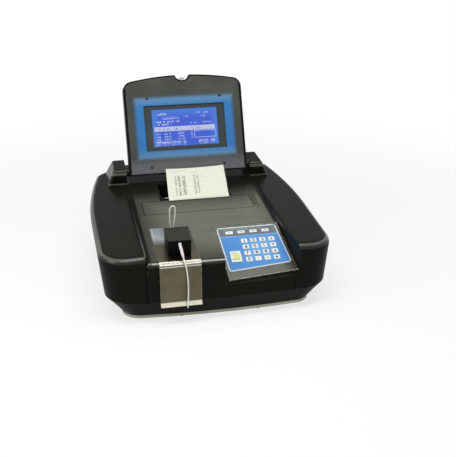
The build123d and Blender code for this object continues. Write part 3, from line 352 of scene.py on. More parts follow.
def make_panel_place():
    """Place in millimetres on a flat panel, from the object's own coordinates."""
    group = Group("Place on panel", "Across Along", Origin=(0, 0, 0), Up=(0, 0, 1))
    origin, up = group.given
    offset = group.vector("SUBTRACT", group.place(), origin)
    across = group.node("SeparateXYZ", {0: offset}, "X")
    along = group.vector("DOT_PRODUCT", offset, up, output="Value")
    group.send(Across=across * (1 / MM), Along=along * (1 / MM))


def make_soft_rectangle():
    """A rectangle on a panel, in millimetres, whose edge fades over a given width."""
    group = Group(
        "Soft rectangle", "Mask", Across=0.0, Along=0.0, Centre_across=0.0, Centre_along=0.0,
        Half_width=10.0, Half_height=10.0, Fade=0.5,
    )
    across, along, centre_across, centre_along, half_width, half_height, fade = group.given
    beside = abs(across - centre_across) - half_width
    beyond = abs(along - centre_along) - half_height
    half_fade = fade * 0.5
    group.send(Mask=combine("MAXIMUM", beside, beyond).ramp(half_fade * -1.0, half_fade, 1.0, 0.0))


def make_dot_marks():
    """Rows of plain dotted marks, as a coarse printer or display makes, spelling nothing."""
    group = Group(
        "Dot marks", "Mask", Across=0.0, Along=0.0, Cell_width=2.0, Cell_height=3.0, Filled=0.6, Seed=0.0
    )
    across, along, width, height, filled, seed = group.given
    masks = []
    # whole cells are left blank here and there, and each filled cell holds a grid of dots
    for dots, limit in ((1.0, 0.85), (4.0, filled)):
        column, row = ((part / (size / dots)).maths("FLOOR") for part, size in ((across, width), (along, height)))
        cell = group.node("CombineXYZ", {"X": column, "Y": row, "Z": seed})
        chance = group.node("TexWhiteNoise", {"Vector": cell}, "Value", noise_dimensions="3D")
        masks.append(chance.maths("LESS_THAN", limit))
    filled_part = 0.74  # of a cell's width and height; the rest is the gap to its neighbour
    for part, size in ((across, width), (along, height)):
        masks.append((part / size).maths("FRACT").maths("LESS_THAN", filled_part))
    group.send(Mask=combine("MULTIPLY", *masks))


def make_moulded_grain():
    """The fine grain of moulded plastic, with faint cloudy wear and settled dust."""
    group = Group(
        "Moulded grain", "Colour Roughness Height",
        Grain_size=0.5, Colour=(0.02, 0.02, 0.02, 1), Roughness=0.4, Dust=0.2,
    )
    size, colour, roughness, dust = group.given
    grain = group.noise(1 / MM / size, 3.0, 0.6)
    cloud = group.noise(14.0, 4.0, 0.6)
    tinted = group.vector("SCALE", colour, cloud.ramp(0.35, 0.7, 0.86, 1.16))
    lying = group.faces_up().ramp(0.4, 1.0) * dust
    rough = roughness + cloud.line(0.14, -0.07)
    group.send(
        Colour=group.mix(lying * grain.ramp(0.45, 0.75).line(0.5, 0.3), tinted, (0.105, 0.105, 0.088)),
        Roughness=lying.maths("MULTIPLY_ADD", 0.2, rough, clamp=True),
        Height=grain,
    )


def make_edge_wear():
    """Where an edge is rubbed paler, from how sharply the surface turns."""
    group = Group("Edge wear", "Mask", Reach=0.0008, Amount=0.5)
    reach, amount = group.given
    rounded = group.node("Bevel", {"Radius": reach}, samples=4)
    facing = group.node("NewGeometry", output="Normal")
    turn = group.vector("DOT_PRODUCT", rounded, facing, output="Value")
    patch = group.noise(160.0, 3.0).ramp(0.35, 0.65, 0.35, 1.0)
    group.send(Mask=turn.ramp(0.99, 0.86) * patch * amount)


def make_polish():
    """Weight of the glossy skin: full on edges that hands and cloths have rubbed, less elsewhere."""
    group = Group("Rubbed gloss", "Weight", Plain=0.1, Rubbed=0.4)
    plain, rubbed = group.given
    facing = group.faces_up()
    share = facing.ramp(0.15, 0.5) * facing.ramp(0.905, 0.84) * group.noise(22.0, 3.0).ramp(0.3, 0.7, 0.8, 1.1)
    group.send(Weight=group.node("Mix", {0: share, 2: plain, 3: rubbed}, data_type="FLOAT"))


def make_brushed_grain():
    """Fine parallel scratches, longer along one axis."""
    group = Group("Brushed grain", "Tone Roughness Height", Stretch=(900.0, 20.0, 20.0), Depth=0.3)
    stretch, depth = group.given
    drawn = group.vector("MULTIPLY", group.place(), stretch)
    fine = group.noise(1.0, 5.0, 0.7, drawn)
    broad = group.noise(0.12, 2.0, 0.5, drawn)
    centred = (broad.line(0.6, fine * 0.4) - 0.5) * depth
    group.send(Tone=centred + 1.0, Roughness=centred * 0.8, Height=fine)


class Finish(Wiring):
    """A material being made: its Principled shader, and the colour laid on it so far."""

    def __init__(self, name, colour, roughness=0.5, metallic=0.0, specular=0.5, skin=0.0, skin_roughness=0.19):
        self.material = bpy.data.materials.new(name)
        self.material.use_nodes = True
        super().__init__(self.material.node_tree)
        self.shader = self.tree.nodes["Principled BSDF"]
        self.colour, self.roughness = colour, roughness
        self.apply(
            Roughness=roughness, Metallic=metallic, Specular_IOR_Level=specular,
            Coat_Weight=skin, Coat_Roughness=skin_roughness,
        )

    def lay(self, share, over):
        """Lays a colour on the finish by `share`."""
        self.colour = self.mix(share, self.colour, over)

    def apply(self, *cad_nodes, relief=None, **values):
        """Feeds the shader, adds a relief of height and distance, and gives the finish to CAD nodes."""
        if relief:
            bump = {"Height": relief[0], "Distance": relief[1], "Strength": 1.0}
            values["Normal"] = self.node("Bump", bump)
        for key, value in {"Base_Color": self.colour, **values}.items():
            self.feed(self.shader.inputs[key.replace("_", " ")], value)
        for name in cad_nodes:
            slots = nodes[name].material_slots
            if not slots:
                nodes[name].data.materials.append(self.material)
            for item in slots:
                item.material = self.material
        return self.material

    def grain(self, size, dust):
        """Grains the colour as moulded plastic is; the grain's roughness and height."""
        values = {"Colour": self.colour, "Roughness": self.roughness, "Dust": dust}
        self.colour, rough, height = self.group("Moulded grain", Grain_size=size, **values)
        return rough, height

    def brushed(self, stretch, depth):
        """Tones the colour as brushed metal is; the scratches' roughness and height."""
        tone, rough, height = self.group("Brushed grain", Stretch=stretch, Depth=depth)
        self.colour = self.vector("SCALE", tuple(self.colour), tone)
        return rough + self.roughness, height

    def spot(self, panel):
        """Across and along in millimetres on a panel."""
        return self.group("Place on panel", Origin=tuple(panel.translation), Up=tuple(panel.col[1][:3]))


def moulded(
    name, colour, roughness, grain_size, dust, *cad_nodes, grain_height=0.00004, specular=0.5, wear=0.3, skin=0.0
):
    """Moulded or coated plastic with grain, rubbed edges and a little dust, given to CAD nodes."""
    finish = Finish(name, colour, roughness, specular=specular, skin=skin)
    rough, height = finish.grain(grain_size, dust)
    finish.lay(finish.wear(0.0009, wear), [min(1.0, part * 1.9 + 0.012) for part in colour])
    return finish.apply(*cad_nodes, Roughness=rough, relief=(height, grain_height))


def metal(name, colour, roughness, stretch, *cad_nodes, depth=0.3, wear=0.3, reach=0.0006, edge=None):
    """Brushed or turned metal, given to CAD nodes; `edge` is the colour of its rubbed edges."""
    finish = Finish(name, colour, roughness, metallic=1.0)
    rough, height = finish.brushed(stretch, depth)
    finish.lay(finish.wear(reach, wear), edge or [min(1.0, part * 1.5 + 0.05) for part in colour])
    return finish.apply(*cad_nodes, Roughness=rough, relief=(height, 0.00001))


# ---------------------------------------------------------------- pieces
def add_object(name, data):
    """A new object in the scene."""
    item = bpy.data.objects.new(name, data)
    bpy.context.scene.collection.objects.link(item)
    return item


def aim(item, place, direction):
    """Stands a camera or a light at a place and points it."""
    item.location = place
    item.rotation_euler = direction.to_track_quat("-Z", "Y").to_euler()


def add_piece(name, mesh, material, body, smooth=True):
    """A new piece of the instrument that rides on a body."""
    piece = add_object(name, mesh)
    if material is not None:
        mesh.materials.append(material)
    if smooth and piece.type == "MESH":
        mesh.polygons.foreach_set("use_smooth", [True] * len(mesh.polygons))
    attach(piece, body)
    return piece


def mesh_from(build, name, place=None):
    """A mesh from a function that fills a bmesh, set on a panel where one is given."""
    shape = bmesh.new()
    build(shape)
    bmesh.ops.recalc_face_normals(shape, faces=shape.faces)
    if place is not None:
        bmesh.ops.transform(shape, matrix=place, verts=shape.verts)
    mesh = bpy.data.meshes.new(name)
    shape.to_mesh(mesh)
    shape.free()
    return mesh


def evaluated_mesh(item):
    """A new mesh of an object as it shows, with its modifiers or its text filled in."""
    bpy.context.view_layer.update()
    return bpy.data.meshes.new_from_object(item.evaluated_get(bpy.context.evaluated_depsgraph_get()))


def box(shape, size, place=Matrix()):
    """Adds a box of a given size in metres."""
    bmesh.ops.create_cube(shape, size=1.0, matrix=place @ Matrix.Diagonal((*size, 1.0)))


def lathe(profile, steps, closed=False):
    """A function that turns (radius, height) pairs in millimetres about Z into a mesh.

    A closed profile joins its end to its start, as a ring's does."""

    def build(shape):
        rings = []
        for radius, height in profile:
            turns = [2 * pi * i / steps for i in range(steps if radius else 1)]
            places = [(radius * MM * cos(turn), radius * MM * sin(turn), height * MM) for turn in turns]
            rings.append([shape.verts.new(place) for place in places])
        for low, high in zip(rings, rings[1:] + rings[:1] * closed):
            for i in range(steps):
                j = (i + 1) % steps
                face = [low[i % len(low)], low[j % len(low)], high[j % len(high)], high[i % len(high)]]
                shape.faces.new(list(dict.fromkeys(face)))

    return build


def tube_curve(name, points, diameter, material):
    """A smooth NURBS tube through given control points, in metres."""
    curve = bpy.data.curves.new(name, "CURVE")
    curve.dimensions = "3D"
    spline = curve.splines.new("NURBS")
    spline.points.add(len(points) - 1)
    for point, place in zip(spline.points, points):
        point.co = (*place, 1.0)
    spline.order_u = 3
    spline.use_endpoint_u = True
    spline.resolution_u = 16
    curve.bevel_depth = diameter / 2
    curve.bevel_resolution = 4
    curve.use_fill_caps = True
    curve.materials.append(material)
    return curve


class PieceOperator:
    """What every operator here shares."""

    bl_options = {"REGISTER", "UNDO"}


class ANALYZER_OT_camera(PieceOperator, bpy.types.Operator):
    """Set the camera where the photograph was taken from"""

    bl_idname = "analyzer.camera"
    bl_label = "Camera"

    def execute(self, context):
        studio = settings().studio
        camera = bpy.data.cameras.new("camera")
        frame_pixels = 457  # the photograph's longer side
        camera.lens = studio.focal_pixels / frame_pixels * camera.sensor_width
        camera.clip_start = 0.05
        holder = add_object("camera", camera)
        yaw, pitch = studio.camera_yaw, studio.camera_pitch
        heading = Vector((sin(yaw) * cos(pitch), cos(yaw) * cos(pitch), -sin(pitch)))
        aim(holder, studio.camera_place, heading)
        context.scene.camera = holder
        return {"FINISHED"}


class ANALYZER_OT_tubing(PieceOperator, bpy.types.Operator):
    """Lay the aspiration tube and the loop above the flow cell"""

    bl_idname = "analyzer.tubing"
    bl_label = "Tubing"

    def execute(self, context):
        tube = settings().tube
        white = Finish("tube white", tube.tube_colour, 0.32)
        stain = white.noise(420.0).ramp(0.35, 0.75, 0.0, 0.35)
        white.lay(stain, (0.62, 0.62, 0.54))
        white.apply(Subsurface_Weight=0.15, Subsurface_Radius=(0.001, 0.001, 0.001))
        aspiration_points = [
            (-0.0573, -0.1926, 0.1046),
            (-0.0554, -0.2032, 0.0966),
            (-0.0532, -0.2042, 0.0770),
            (-0.0526, -0.2034, 0.0536),
            (-0.0543, -0.2038, 0.0304),
        ]
        curve = tube_curve("aspiration_line", aspiration_points, tube.tube_diameter, white.material)
        line = add_piece("aspiration_line", curve, None, "flow_cell")
        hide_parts("aspiration_tube")
        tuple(aspiration_points[0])
        # out of one fitting, over in a narrow bow and into the other: across, back, rise
        left, right = fitting_columns
        bow = (
            (left, 0.0, 0.0), (-68.6, 0.3, 17.0), (-68.2, -0.4, 36.6),
            (-59.9, -0.8, 37.0), (-60.6, -0.2, 17.6), (right, 0.0, 0.0),
        )
        loop_points = [
            tuple(deck_panel @ Vector((across * MM, (fitting_row + back) * MM, (cell_top + rise) * MM)))
            for across, back, rise in bow
        ]
        curve = tube_curve("loop_line", loop_points, tube.loop_diameter, white.material)
        loop = add_piece("loop_line", curve, None, "flow_cell")
        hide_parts("tubing_loop")
        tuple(loop_points[0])
        return {"FINISHED"}


def shell_finish(look, name, cad_node, ribs=False):
    """The housing's plastic; the deck between the shoulders is paler, partly rubbed and dusty and partly a painted
    sheen.
    """
    finish = Finish(
        name, look.shell_colour, look.shell_roughness, specular=0.01, skin=look.skin,
        skin_roughness=look.skin_roughness,
    )
    lay = finish.lay
    rough, height = finish.grain(0.7, 0.06)
    height *= look.grain_height
    spot = finish.spot(deck_panel)
    along = spot[1]
    faces_up = finish.faces_up()
    level = faces_up.ramp(0.90, 0.985)
    # a soft paler patch on the level deck, partly dust and partly a painted sheen from the lamps
    middle = finish.rectangle(spot, (14.0, -84.0), (103.0, 92.0), 100.0)
    between = finish.rectangle(spot, (0.0, 0.0), (103.5, 300.0), 3.0)
    # long faint streaks from side to side
    drawn = finish.vector("MULTIPLY", finish.place(), (9.0, 420.0, 420.0))
    streak = finish.noise(1.0, 3.0, at=drawn).ramp(0.3, 0.7, 0.84, 1.0)
    lay(middle * between * level * streak, look.deck_colour)
    # dirt in the gap round the cover, and painted shade in the strip under the lid's foot
    outer, inner = (
        finish.rectangle(spot, (0.0, -12.2), (93.8 + reach, 23.5 + reach), 0.5) for reach in (0.7, -0.7)
    )
    gap = outer.maths("SUBTRACT", inner, clamp=True) * level
    lid_foot_shade = along.ramp(70.0, 86.0, 0.0, 0.8) * between
    lay(combine("MAXIMUM", gap * 0.85, lid_foot_shade), (0.0035, 0.0034, 0.0025))
    if ribs:
        rib_pitch, rib_height = 5.2, 0.0002
        rib = along.wave(rib_pitch).ramp(0.2, 0.95) * finish.rectangle(spot, (-6.0, -12.2), (82.0, 21.0), 1.0)
        # the rib crests are painted paler, a painted highlight
        lay(rib * 0.14, (0.16, 0.165, 0.14))
        height = rib.line(rib_height, height)
    else:
        lay(finish.wear(0.0012, 0.35), (0.10, 0.10, 0.08))
        # painted highlights along the deck's front edge and, less, along the front of the shoulders' rims
        edge = faces_up.ramp(0.60, 0.72) * faces_up.ramp(0.905, 0.86)
        lay(edge * along.ramp(-150.0, -165.0) * between, (0.29, 0.295, 0.255))
        front = edge * along.ramp(-70.0, -150.0, 0.0, 0.36) * (1.0 - between)
        lay(front, (0.22, 0.225, 0.19))
        # painted highlights on the hinge pods' fronts, below their top edge and at the foot
        upright = finish.group("Place on panel", Origin=(0.0, 0.0, 0.0), Up=(0.0, 0.0, 1.0))[1]
        pods = along.ramp(100.0, 96.0) * along.ramp(84.0, 87.0) * faces_up.ramp(0.5, 0.3)
        band = upright.ramp(138.5, 141.0) * upright.ramp(145.5, 143.5, 0.0, 0.5)
        foot = upright.ramp(123.0, 124.0) * upright.ramp(126.5, 125.0, 0.0, 0.4)
        lay(combine("MAXIMUM", band, foot) * pods, (0.27, 0.275, 0.235))
    # the glossy skin is taken off where the shade under the lid's foot is painted
    skin = finish.group("Rubbed gloss", Plain=look.skin, Rubbed=look.rubbed_skin)[0] * (1.0 - lid_foot_shade)
    finish.apply(cad_node, Roughness=rough, Coat_Weight=skin, relief=(height, 1.0))


class ANALYZER_OT_housing(PieceOperator, bpy.types.Operator):
    """Finish the housing, its base, feet and deck cover"""

    bl_idname = "analyzer.housing"
    bl_label = "Housing"

    def execute(self, context):
        look = settings().housing
        shell_finish(look, "housing shell", "top_cover")
        shell_finish(look, "ribbed deck cover", "deck_cover", ribs=True)
        moulded(
            "case plastic", look.shell_colour, look.shell_roughness, 0.7, 0.06, "lower_case",
            grain_height=look.grain_height, specular=0.01, skin=look.skin,
        )
        moulded("base paint", look.base_colour, 0.5, 1.2, 0.1, "base_plate")
        moulded("foot rubber", (0.02, 0.02, 0.02), 0.75, 0.4, 0.1, "rubber_feet")
        metal("screw steel", (0.5, 0.5, 0.5), 0.35, (300.0, 300.0, 40.0), "case_screws")
        return {"FINISHED"}


def printed_face(look):
    """The lid's grained face with its soft-edged blue field."""
    finish = Finish("lid face", look.face_colour, 0.5, specular=0.05)
    rough, height = finish.grain(0.8, 0.0)
    spot = across, along = finish.spot(lid_panel)
    screen_height = 79.5
    half = (look.print_width / 2 / MM, look.print_height / 2 / MM)
    field = finish.rectangle(spot, (0.0, screen_height), half, look.print_fade / MM)
    # the field is paler above and below the screen than beside it
    blue = finish.mix(abs(along - screen_height).ramp(34.0, 52.0), look.print_low, look.print_high)
    finish.lay(along.ramp(34.0, 10.0, 0.0, 0.8), (0.160, 0.166, 0.180))
    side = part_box("lid_bezel")[1][0] / MM
    finish.lay(abs(across).ramp(side - 2.4, side - 1.4), (0.008, 0.008, 0.007))
    finish.lay(field, blue)
    finish.apply("lid_bezel", Roughness=rough, relief=(height, 0.00004))


class ANALYZER_OT_lid(PieceOperator, bpy.types.Operator):
    """Finish the lid, with the printed field round the screen, its screws and its hinge"""

    bl_idname = "analyzer.lid"
    bl_label = "Lid"

    def execute(self, context):
        printed_face(settings().lid)
        black = (0.0075, 0.0072, 0.0055)
        moulded("lid black", black, 0.34, 0.7, 0.06, "lid_back", specular=0.01, skin=0.11)
        black = (0.010, 0.010, 0.009)
        moulded("hinge black", black, 0.4, 0.7, 0.05, "hinge_pins", specular=0.05, skin=0.25)
        metal("latch metal", (0.42, 0.42, 0.39), 0.32, (60.0, 400.0, 400.0), "lid_latch")
        self.screws()
        return {"FINISHED"}

    def screws(self):
        """Four dark screws with crossed recesses."""
        dark = metal("screw black", (0.05, 0.05, 0.055), 0.4, (200.0, 200.0, 200.0))
        radius, foot = 2.7, -1.4
        dome = [
            (0.0, foot), (radius, foot), (radius, -0.75), (radius * 0.86, -0.42), (radius * 0.5, -0.3), (0.0, -0.28)
        ]

        def recess(shape):
            for turn in (0, pi / 2):
                box(shape, (3.2 * MM, 0.62 * MM, 0.9 * MM), Matrix.Rotation(turn + 0.4, 4, "Z"))

        for across, side in ((-63.5, "left"), (63.5, "right")):
            for along, level in ((12.2, "low"), (130.5, "high")):
                place = on_panel(lid_panel, across, along)
                mesh = mesh_from(lathe(dome, 24), "lid_screw_head", place)
                piece = add_piece("lid_screw_head_%s_%s" % (side, level), mesh, dark, "lid")
                cutter = add_object("cutter", mesh_from(recess, "cutter", place))
                cut = piece.modifiers.new("recess", "BOOLEAN")
                cut.object = cutter
                cut.operation = "DIFFERENCE"
                cut.use_self = True
                mesh = evaluated_mesh(piece)
                piece.modifiers.clear()
                piece.data = mesh
                bpy.data.objects.remove(cutter)
                if (side, level) == ("left", "low"):
                    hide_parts("lid_screws")


# (left, right, middle, half height) of each run of marks on the display
runs = (
    (-48, -30, 103.0, 1.9), (0, 3, 103.5, 2.6), (17, 41, 103.6, 1.8),
    (-40, -8, 95.6, 1.8), (-2, 7, 97.0, 1.4), (27, 36, 96.6, 2.0),
    (-51, -9, 90.0, 2.0), (-47, -24, 84.6, 1.7), (9, 21, 86.2, 1.5), (30, 48, 86.6, 1.6),
    (-51, -43, 69.0, 1.6), (-38, -26, 69.0, 1.6), (-14, -2, 69.6, 1.6),
    (-51, -43, 64.2, 1.6), (-38, -26, 64.2, 1.6), (-14, -2, 64.6, 1.6),
    (-51, -44, 59.4, 1.6), (-38, -26, 59.6, 1.6), (-14, -2, 60.0, 1.6),
)


def lit_window(look):
    """The glass of the display with what it shows."""
    finish = Finish("display glass", (0.01, 0.012, 0.03), 0.12)
    lay = finish.lay
    spot = across, along = finish.spot(lid_panel)

    def run(left, right, middle, half, fade=0.4):
        return finish.rectangle(spot, ((left + right) / 2, middle), ((right - left) / 2, half), fade)

    # brighter towards the edges, as an edge-lit panel is
    rim = combine("MAXIMUM", abs(across).ramp(40.0, 57.0, 0.0, 0.55), along.ramp(92.0, 112.0, 0.0, 0.5))
    finish.colour = look.ground_colour
    lay(rim, (0.085, 0.34, 0.90))
    shown = combine("MAXIMUM", *(run(*ends) for ends in runs)) * finish.marks(spot, (3.1, 4.4), 0.68, 3.0)
    lay(shown, look.mark_colour)
    # the menu block at the foot, bright with dark marks
    for left, right in ((-53, 0), (22, 50)):
        coarse = finish.marks(spot, (4.3, 7.4), 0.62, 9.0)
        lay(run(left, right, 52.6, 3.9, 0.6) * coarse.line(0.7, 0.12), look.mark_colour)
    # the bright row with its dark marks
    row = 77.2
    dark = combine("MAXIMUM", run(-47, -13, row, 2.2), run(9, 27, row, 1.6))
    bright = finish.mix(finish.marks(spot, (3.3, 5.0), 0.5, 5.0) * dark, look.bar_colour, look.ground_colour)
    lay(run(-54, 52, row, 3.9, 0.6), bright)
    # the outlined box at the right, and the short rule beside it
    outer, inner, rule = (
        finish.rectangle(spot, (centre, 66.0), half, 0.4)
        for centre, half in ((34.0, (19.4, 6.4)), (34.0, (18.3, 5.3)), (10.6, (0.6, 6.0)))
    )
    outline = combine("MAXIMUM", outer.maths("SUBTRACT", inner, clamp=True), rule)
    lay(outline * 0.75, look.mark_colour)
    base = finish.mix(0.72, finish.colour, (0.0, 0.0, 0.0))
    finish.apply("lcd_window", Base_Color=base, Emission_Color=finish.colour, Emission_Strength=look.glow)


class ANALYZER_OT_display(PieceOperator, bpy.types.Operator):
    """Finish the display: blue ground, rows of dotted marks, a bright row and boxes"""

    bl_idname = "analyzer.display"
    bl_label = "Display"

    def execute(self, context):
        lit_window(settings().display)
        moulded("display surround", (0.045, 0.060, 0.062), 0.4, 0.7, 0.0, "lcd_module", specular=0.2)
        return {"FINISHED"}


# (left, right, foot, head, cell width, cell height, ink) of each block of print on the sheet
prints = (
    (-34.5, -31.0, 1, 50, 1.8, 3.2, 0.8), (-29.0, -25.0, 1, 55, 2.0, 3.2, 1.0),
    (-21.5, -15.8, 4, 52, 2.0, 3.2, 1.0), (-2.6, 1.6, 4, 54, 1.6, 2.4, 0.75),
    (3.4, 6.8, 4, 54, 1.7, 3.2, 0.85), (11.0, 19.0, 45, 47.2, 1.6, 2.2, 0.5),
    (11.5, 19.5, 33, 35.2, 1.6, 2.2, 0.5), (-36.0, -30.0, 58, 60.2, 1.6, 2.2, 0.6),
    (-7.0, 6.0, 60, 62.4, 1.6, 2.4, 0.55), (20.0, 30.0, 65, 67.0, 1.6, 2.2, 0.45),
    (-38.0, -12.0, 66, 68.2, 1.6, 2.2, 0.45), (8.0, 20.0, 56, 58.2, 1.6, 2.2, 0.4),
    (-36.0, -30.0, 51, 53.2, 1.6, 2.2, 0.4), (-8.0, -2.0, 24, 26.0, 1.6, 2.2, 0.4),
)


def wound_paper(look):
    """Paper on the roll: plain outside, fine rings on the ends."""
    finish = Finish("wound paper", look.paper_colour, 0.75, specular=0.2)
    roll_centre = (0.0, 0.054375, 0.091897)
    centred = finish.vector("SUBTRACT", finish.place(), roll_centre)
    flat = finish.vector("MULTIPLY", centred, (0.0, 1.0, 1.0))
    ring = finish.vector("LENGTH", flat, output="Value").wave(0.0006)
    finish.lay(ring.ramp(-0.2, 1.0, 0.0, 0.3), (0.5, 0.5, 0.42))
    finish.apply("paper_roll", relief=(ring, 0.00003))


def printed_paper(look, foot, up):
    """Paper with columns of dotted marks, as a strip printed sideways has."""
    finish = Finish("printed paper", look.paper_colour, 0.7, specular=0.25)
    across, along = finish.group("Place on panel", Origin=tuple(foot * MM), Up=tuple(up))
    spot = along.line(-6.0 / 75.0, across), along
    fibre = finish.noise(900.0, 3.0)
    finish.lay(fibre.ramp(0.3, 0.7, 0.0, 0.14), (0.60, 0.62, 0.50))
    for index, (left, right, low, high, width, height, ink) in enumerate(prints):
        centre, half = ((left + right) / 2, (low + high) / 2), ((right - left) / 2, (high - low) / 2)
        marks = finish.marks(spot, (width, height), 0.85, float(index))
        finish.lay(finish.rectangle(spot, centre, half, 0.3) * marks * ink, look.ink_colour)
    return finish.apply(relief=(fibre, 0.00003))


def printed_sheet(look):
    """The sheet, out of its slot and back against the lid, a little curled, its end torn."""
    left, right = -47.6, 53.4
    foot, head = Vector((0, 14.7, 121.4)), Vector((0, 85.0, 147.2))
    length = (head - foot).length
    up = (head - foot).normalized()
    out = Vector((1, 0, 0)).cross(up)
    skew = 6.0  # how far the head lies to the right of the foot
    thickness = 0.16
    columns, rows = 60, 36

    def point(face, row, column):
        share, part = row / rows, column / columns
        tooth = 0.35 * abs(column % 2 - 0.5) if row == rows else 0.0
        reach = length * share - 2.2 * (row == 0) - tooth
        crown = 4 * part * (1 - part) - 0.6
        bow = look.curl / MM * (0.55 * sin(pi * share) - 0.25 * crown * share)
        wave = 0.35 * sin(7.0 * part + 2.0 * share) * share
        corner = 1.1 * max(0.0, part - 0.86) / 0.14 * max(0.0, share - 0.8) / 0.2
        place = foot + up * reach + out * (bow + wave + corner + 0.02 - thickness * face)
        # the foot reaches forward and down, over the printer's front edge
        near = max(0.0, 1.0 - share / 0.16) ** 2
        place += Vector((0, -6.4 * near, -1.7 * near))
        place.x = left + (right - left) * part + skew * share
        return place * MM

    def build(shape):
        layers = [
            [[shape.verts.new(point(face, row, column)) for column in range(columns + 1)] for row in range(rows + 1)]
            for face in (0, 1)
        ]
        for layer, order in zip(layers, (1, -1)):
            for low, high in zip(layer, layer[1:]):
                for i in range(columns):
                    shape.faces.new([low[i], low[i + 1], high[i + 1], high[i]][::order])
        front, back = (
            [row[0] for row in layer] + layer[-1][1:] + [row[-1] for row in layer[-2::-1]] + layer[0][-2:0:-1]
            for layer in layers
        )
        for i, j in zip(range(len(front)), [*range(1, len(front)), 0]):
            shape.faces.new([front[i], front[j], back[j], back[i]])

    mesh = mesh_from(build, "printed_sheet")
    piece = add_piece("printed_sheet", mesh, printed_paper(look, foot, up), "paper_sheet")
    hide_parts("paper_sheet")


class ANALYZER_OT_printer(PieceOperator, bpy.types.Operator):
    """Finish the printer and lay its printed paper"""

    bl_idname = "analyzer.printer"
    bl_label = "Printer"

    def execute(self, context):
        black = (0.008, 0.008, 0.007)
        moulded("printer black", black, 0.4, 0.7, 0.05, "printer_frame", specular=0.02, skin=0.05)
        moulded("platen rubber", (0.02, 0.02, 0.02), 0.7, 0.3, 0.05, "platen_roller")
        wound_paper(settings().paper)
        printed_sheet(settings().paper)
        return {"FINISHED"}


class ANALYZER_OT_drip_plate(PieceOperator, bpy.types.Operator):
    """Finish the steel drip plate"""

    bl_idname = "analyzer.drip_plate"
    bl_label = "Drip plate"

    def execute(self, context):
        look = settings().metal
        finish = Finish("brushed steel", look.steel_colour, look.steel_roughness, metallic=1.0)
        lay = finish.lay
        rough, relief = finish.brushed((1500.0, 12.0, 12.0), 0.55)
        height = finish.node("SeparateXYZ", {0: finish.place()}, "Z")
        # dried drips and fingermarks dull the front
        stain = finish.noise(38.0, 4.0, 0.6).ramp(0.35, 0.7) * height.ramp(0.095, 0.085)
        lay(stain * 0.45, (0.17, 0.15, 0.10))
        # the rear corner beside the cell catches more light, and the bend shows the lamps as bright lines
        corner = finish.rectangle(finish.spot(deck_panel), (-90.0, -100.0), (15.0, 26.0), 34.0)
        lay(corner, (0.66, 0.68, 0.66))
        facing = finish.faces_up()
        lines = (facing * 22.0).maths("SINE").ramp(-0.2, 0.8, 0.1, 1.0)
        bend = facing.ramp(0.12, 0.3) * facing.ramp(0.985, 0.93) * lines
        lay(bend, (0.62, 0.61, 0.56))
        lay(finish.wear(0.0007, 0.8), (0.82, 0.81, 0.76))
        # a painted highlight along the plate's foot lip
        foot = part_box("drip_plate")[0][2]
        lay(height.ramp(foot + 0.0068, foot + 0.0054), (0.66, 0.64, 0.52))
        rough = stain.maths("MULTIPLY_ADD", 0.15, rough, clamp=True)
        finish.apply("drip_plate", Roughness=rough, relief=(relief, 0.000012))
        return {"FINISHED"}


class ANALYZER_OT_flow_cell(PieceOperator, bpy.types.Operator):
    """Finish the flow cell, its fittings and the sleeve at its outlet"""

    bl_idname = "analyzer.flow_cell"
    bl_label = "Flow cell"

    def execute(self, context):
        black = settings().metal.cell_colour
        moulded(
            "anodised black", black, 0.36, 0.35, 1.0, "flow_cell_block", specular=0.01, wear=0.7, skin=0.03
        )
        # a soft sleeve, slid over the outlet and gathered towards the tube: radius, share of its length
        soft = moulded("sleeve", settings().tube.sleeve_colour, 0.45, 0.5, 0.0, wear=0.0)
        start, end = Vector((-60.1, -175.9, 121.6)) * MM, Vector((-57.3, -192.6, 104.6)) * MM
        length = (end - start).length / MM
        folds = (
            (0.0, 0.0), (2.1, 0.0), (2.35, 0.04), (2.2, 0.2), (2.4, 0.34), (2.15, 0.5), (2.3, 0.66),
            (1.9, 0.84), (1.45, 0.97), (0.0, 1.0),
        )
        profile = [(radius, share * length) for radius, share in folds]
        place = Matrix.Translation(start) @ (end - start).to_track_quat("Z", "Y").to_matrix().to_4x4()
        mesh = mesh_from(lathe(profile, 24), "outlet_sleeve", place)
        sleeve = add_piece("outlet_sleeve", mesh, soft, "flow_cell")
        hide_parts("tube_sleeve")
        # the two collars that the loop is pushed into
        collar = [(0.0, -0.5), (2.1, -0.5), (2.1, 0.7), (1.7, 1.1), (1.05, 1.2), (0.0, 1.2)]
        dark = moulded("collar black", (0.03, 0.03, 0.03), 0.4, 0.4, 0.1)
        for index, across in enumerate(fitting_columns):
            place = on_panel(deck_panel, across, fitting_row, cell_top)
            mesh = mesh_from(lathe(collar, 20), "loop_collar", place)
            add_piece("loop_collar_%d" % (index + 1), mesh, dark, "flow_cell")
        return {"FINISHED"}


def overlay_finish(look):
    """The printed overlay: header band, blue field, white line along its edge."""
    finish = Finish("keypad overlay", look.field_colour, 0.38, specular=0.4)
    lay = finish.lay
    spot = across, along = finish.spot(keypad_panel)
    down = along * -1.0
    # how far inside the nearest of the overlay's four sides a point lies
    inside = combine(
        "MINIMUM", across - down.line(5.2 / 111.0, 9.6), down.line(11.0 / 101.5, 102.4) - across,
        down - 5.3, across.line(-0.0973, 95.6) - down,
    )
    cloud = finish.noise(26.0)
    glow = finish.rectangle(spot, (69.0, -53.0), (22.0, 20.0), 26.0).line(0.75, cloud * 0.3)
    lay(glow, look.field_light)
    lay(down.ramp(23.8, 23.2), look.header_colour)
    rule = finish.rectangle(spot, (60.0, -24.6), (80.0, 0.55), 0.3)
    lay(rule * 0.6, (0.30, 0.60, 0.95))
    marks = finish.rectangle(spot, (50.0, -10.4), (30.0, 1.3), 0.3) * finish.marks(spot, (1.6, 2.6), 0.55, 2.0)
    lay(marks * 0.55, (0.75, 0.78, 0.80))
    lay(inside.ramp(1.5, 1.1), (0.80, 0.86, 0.90))
    finish.apply("keypad_overlay", relief=(cloud, 0.00003))


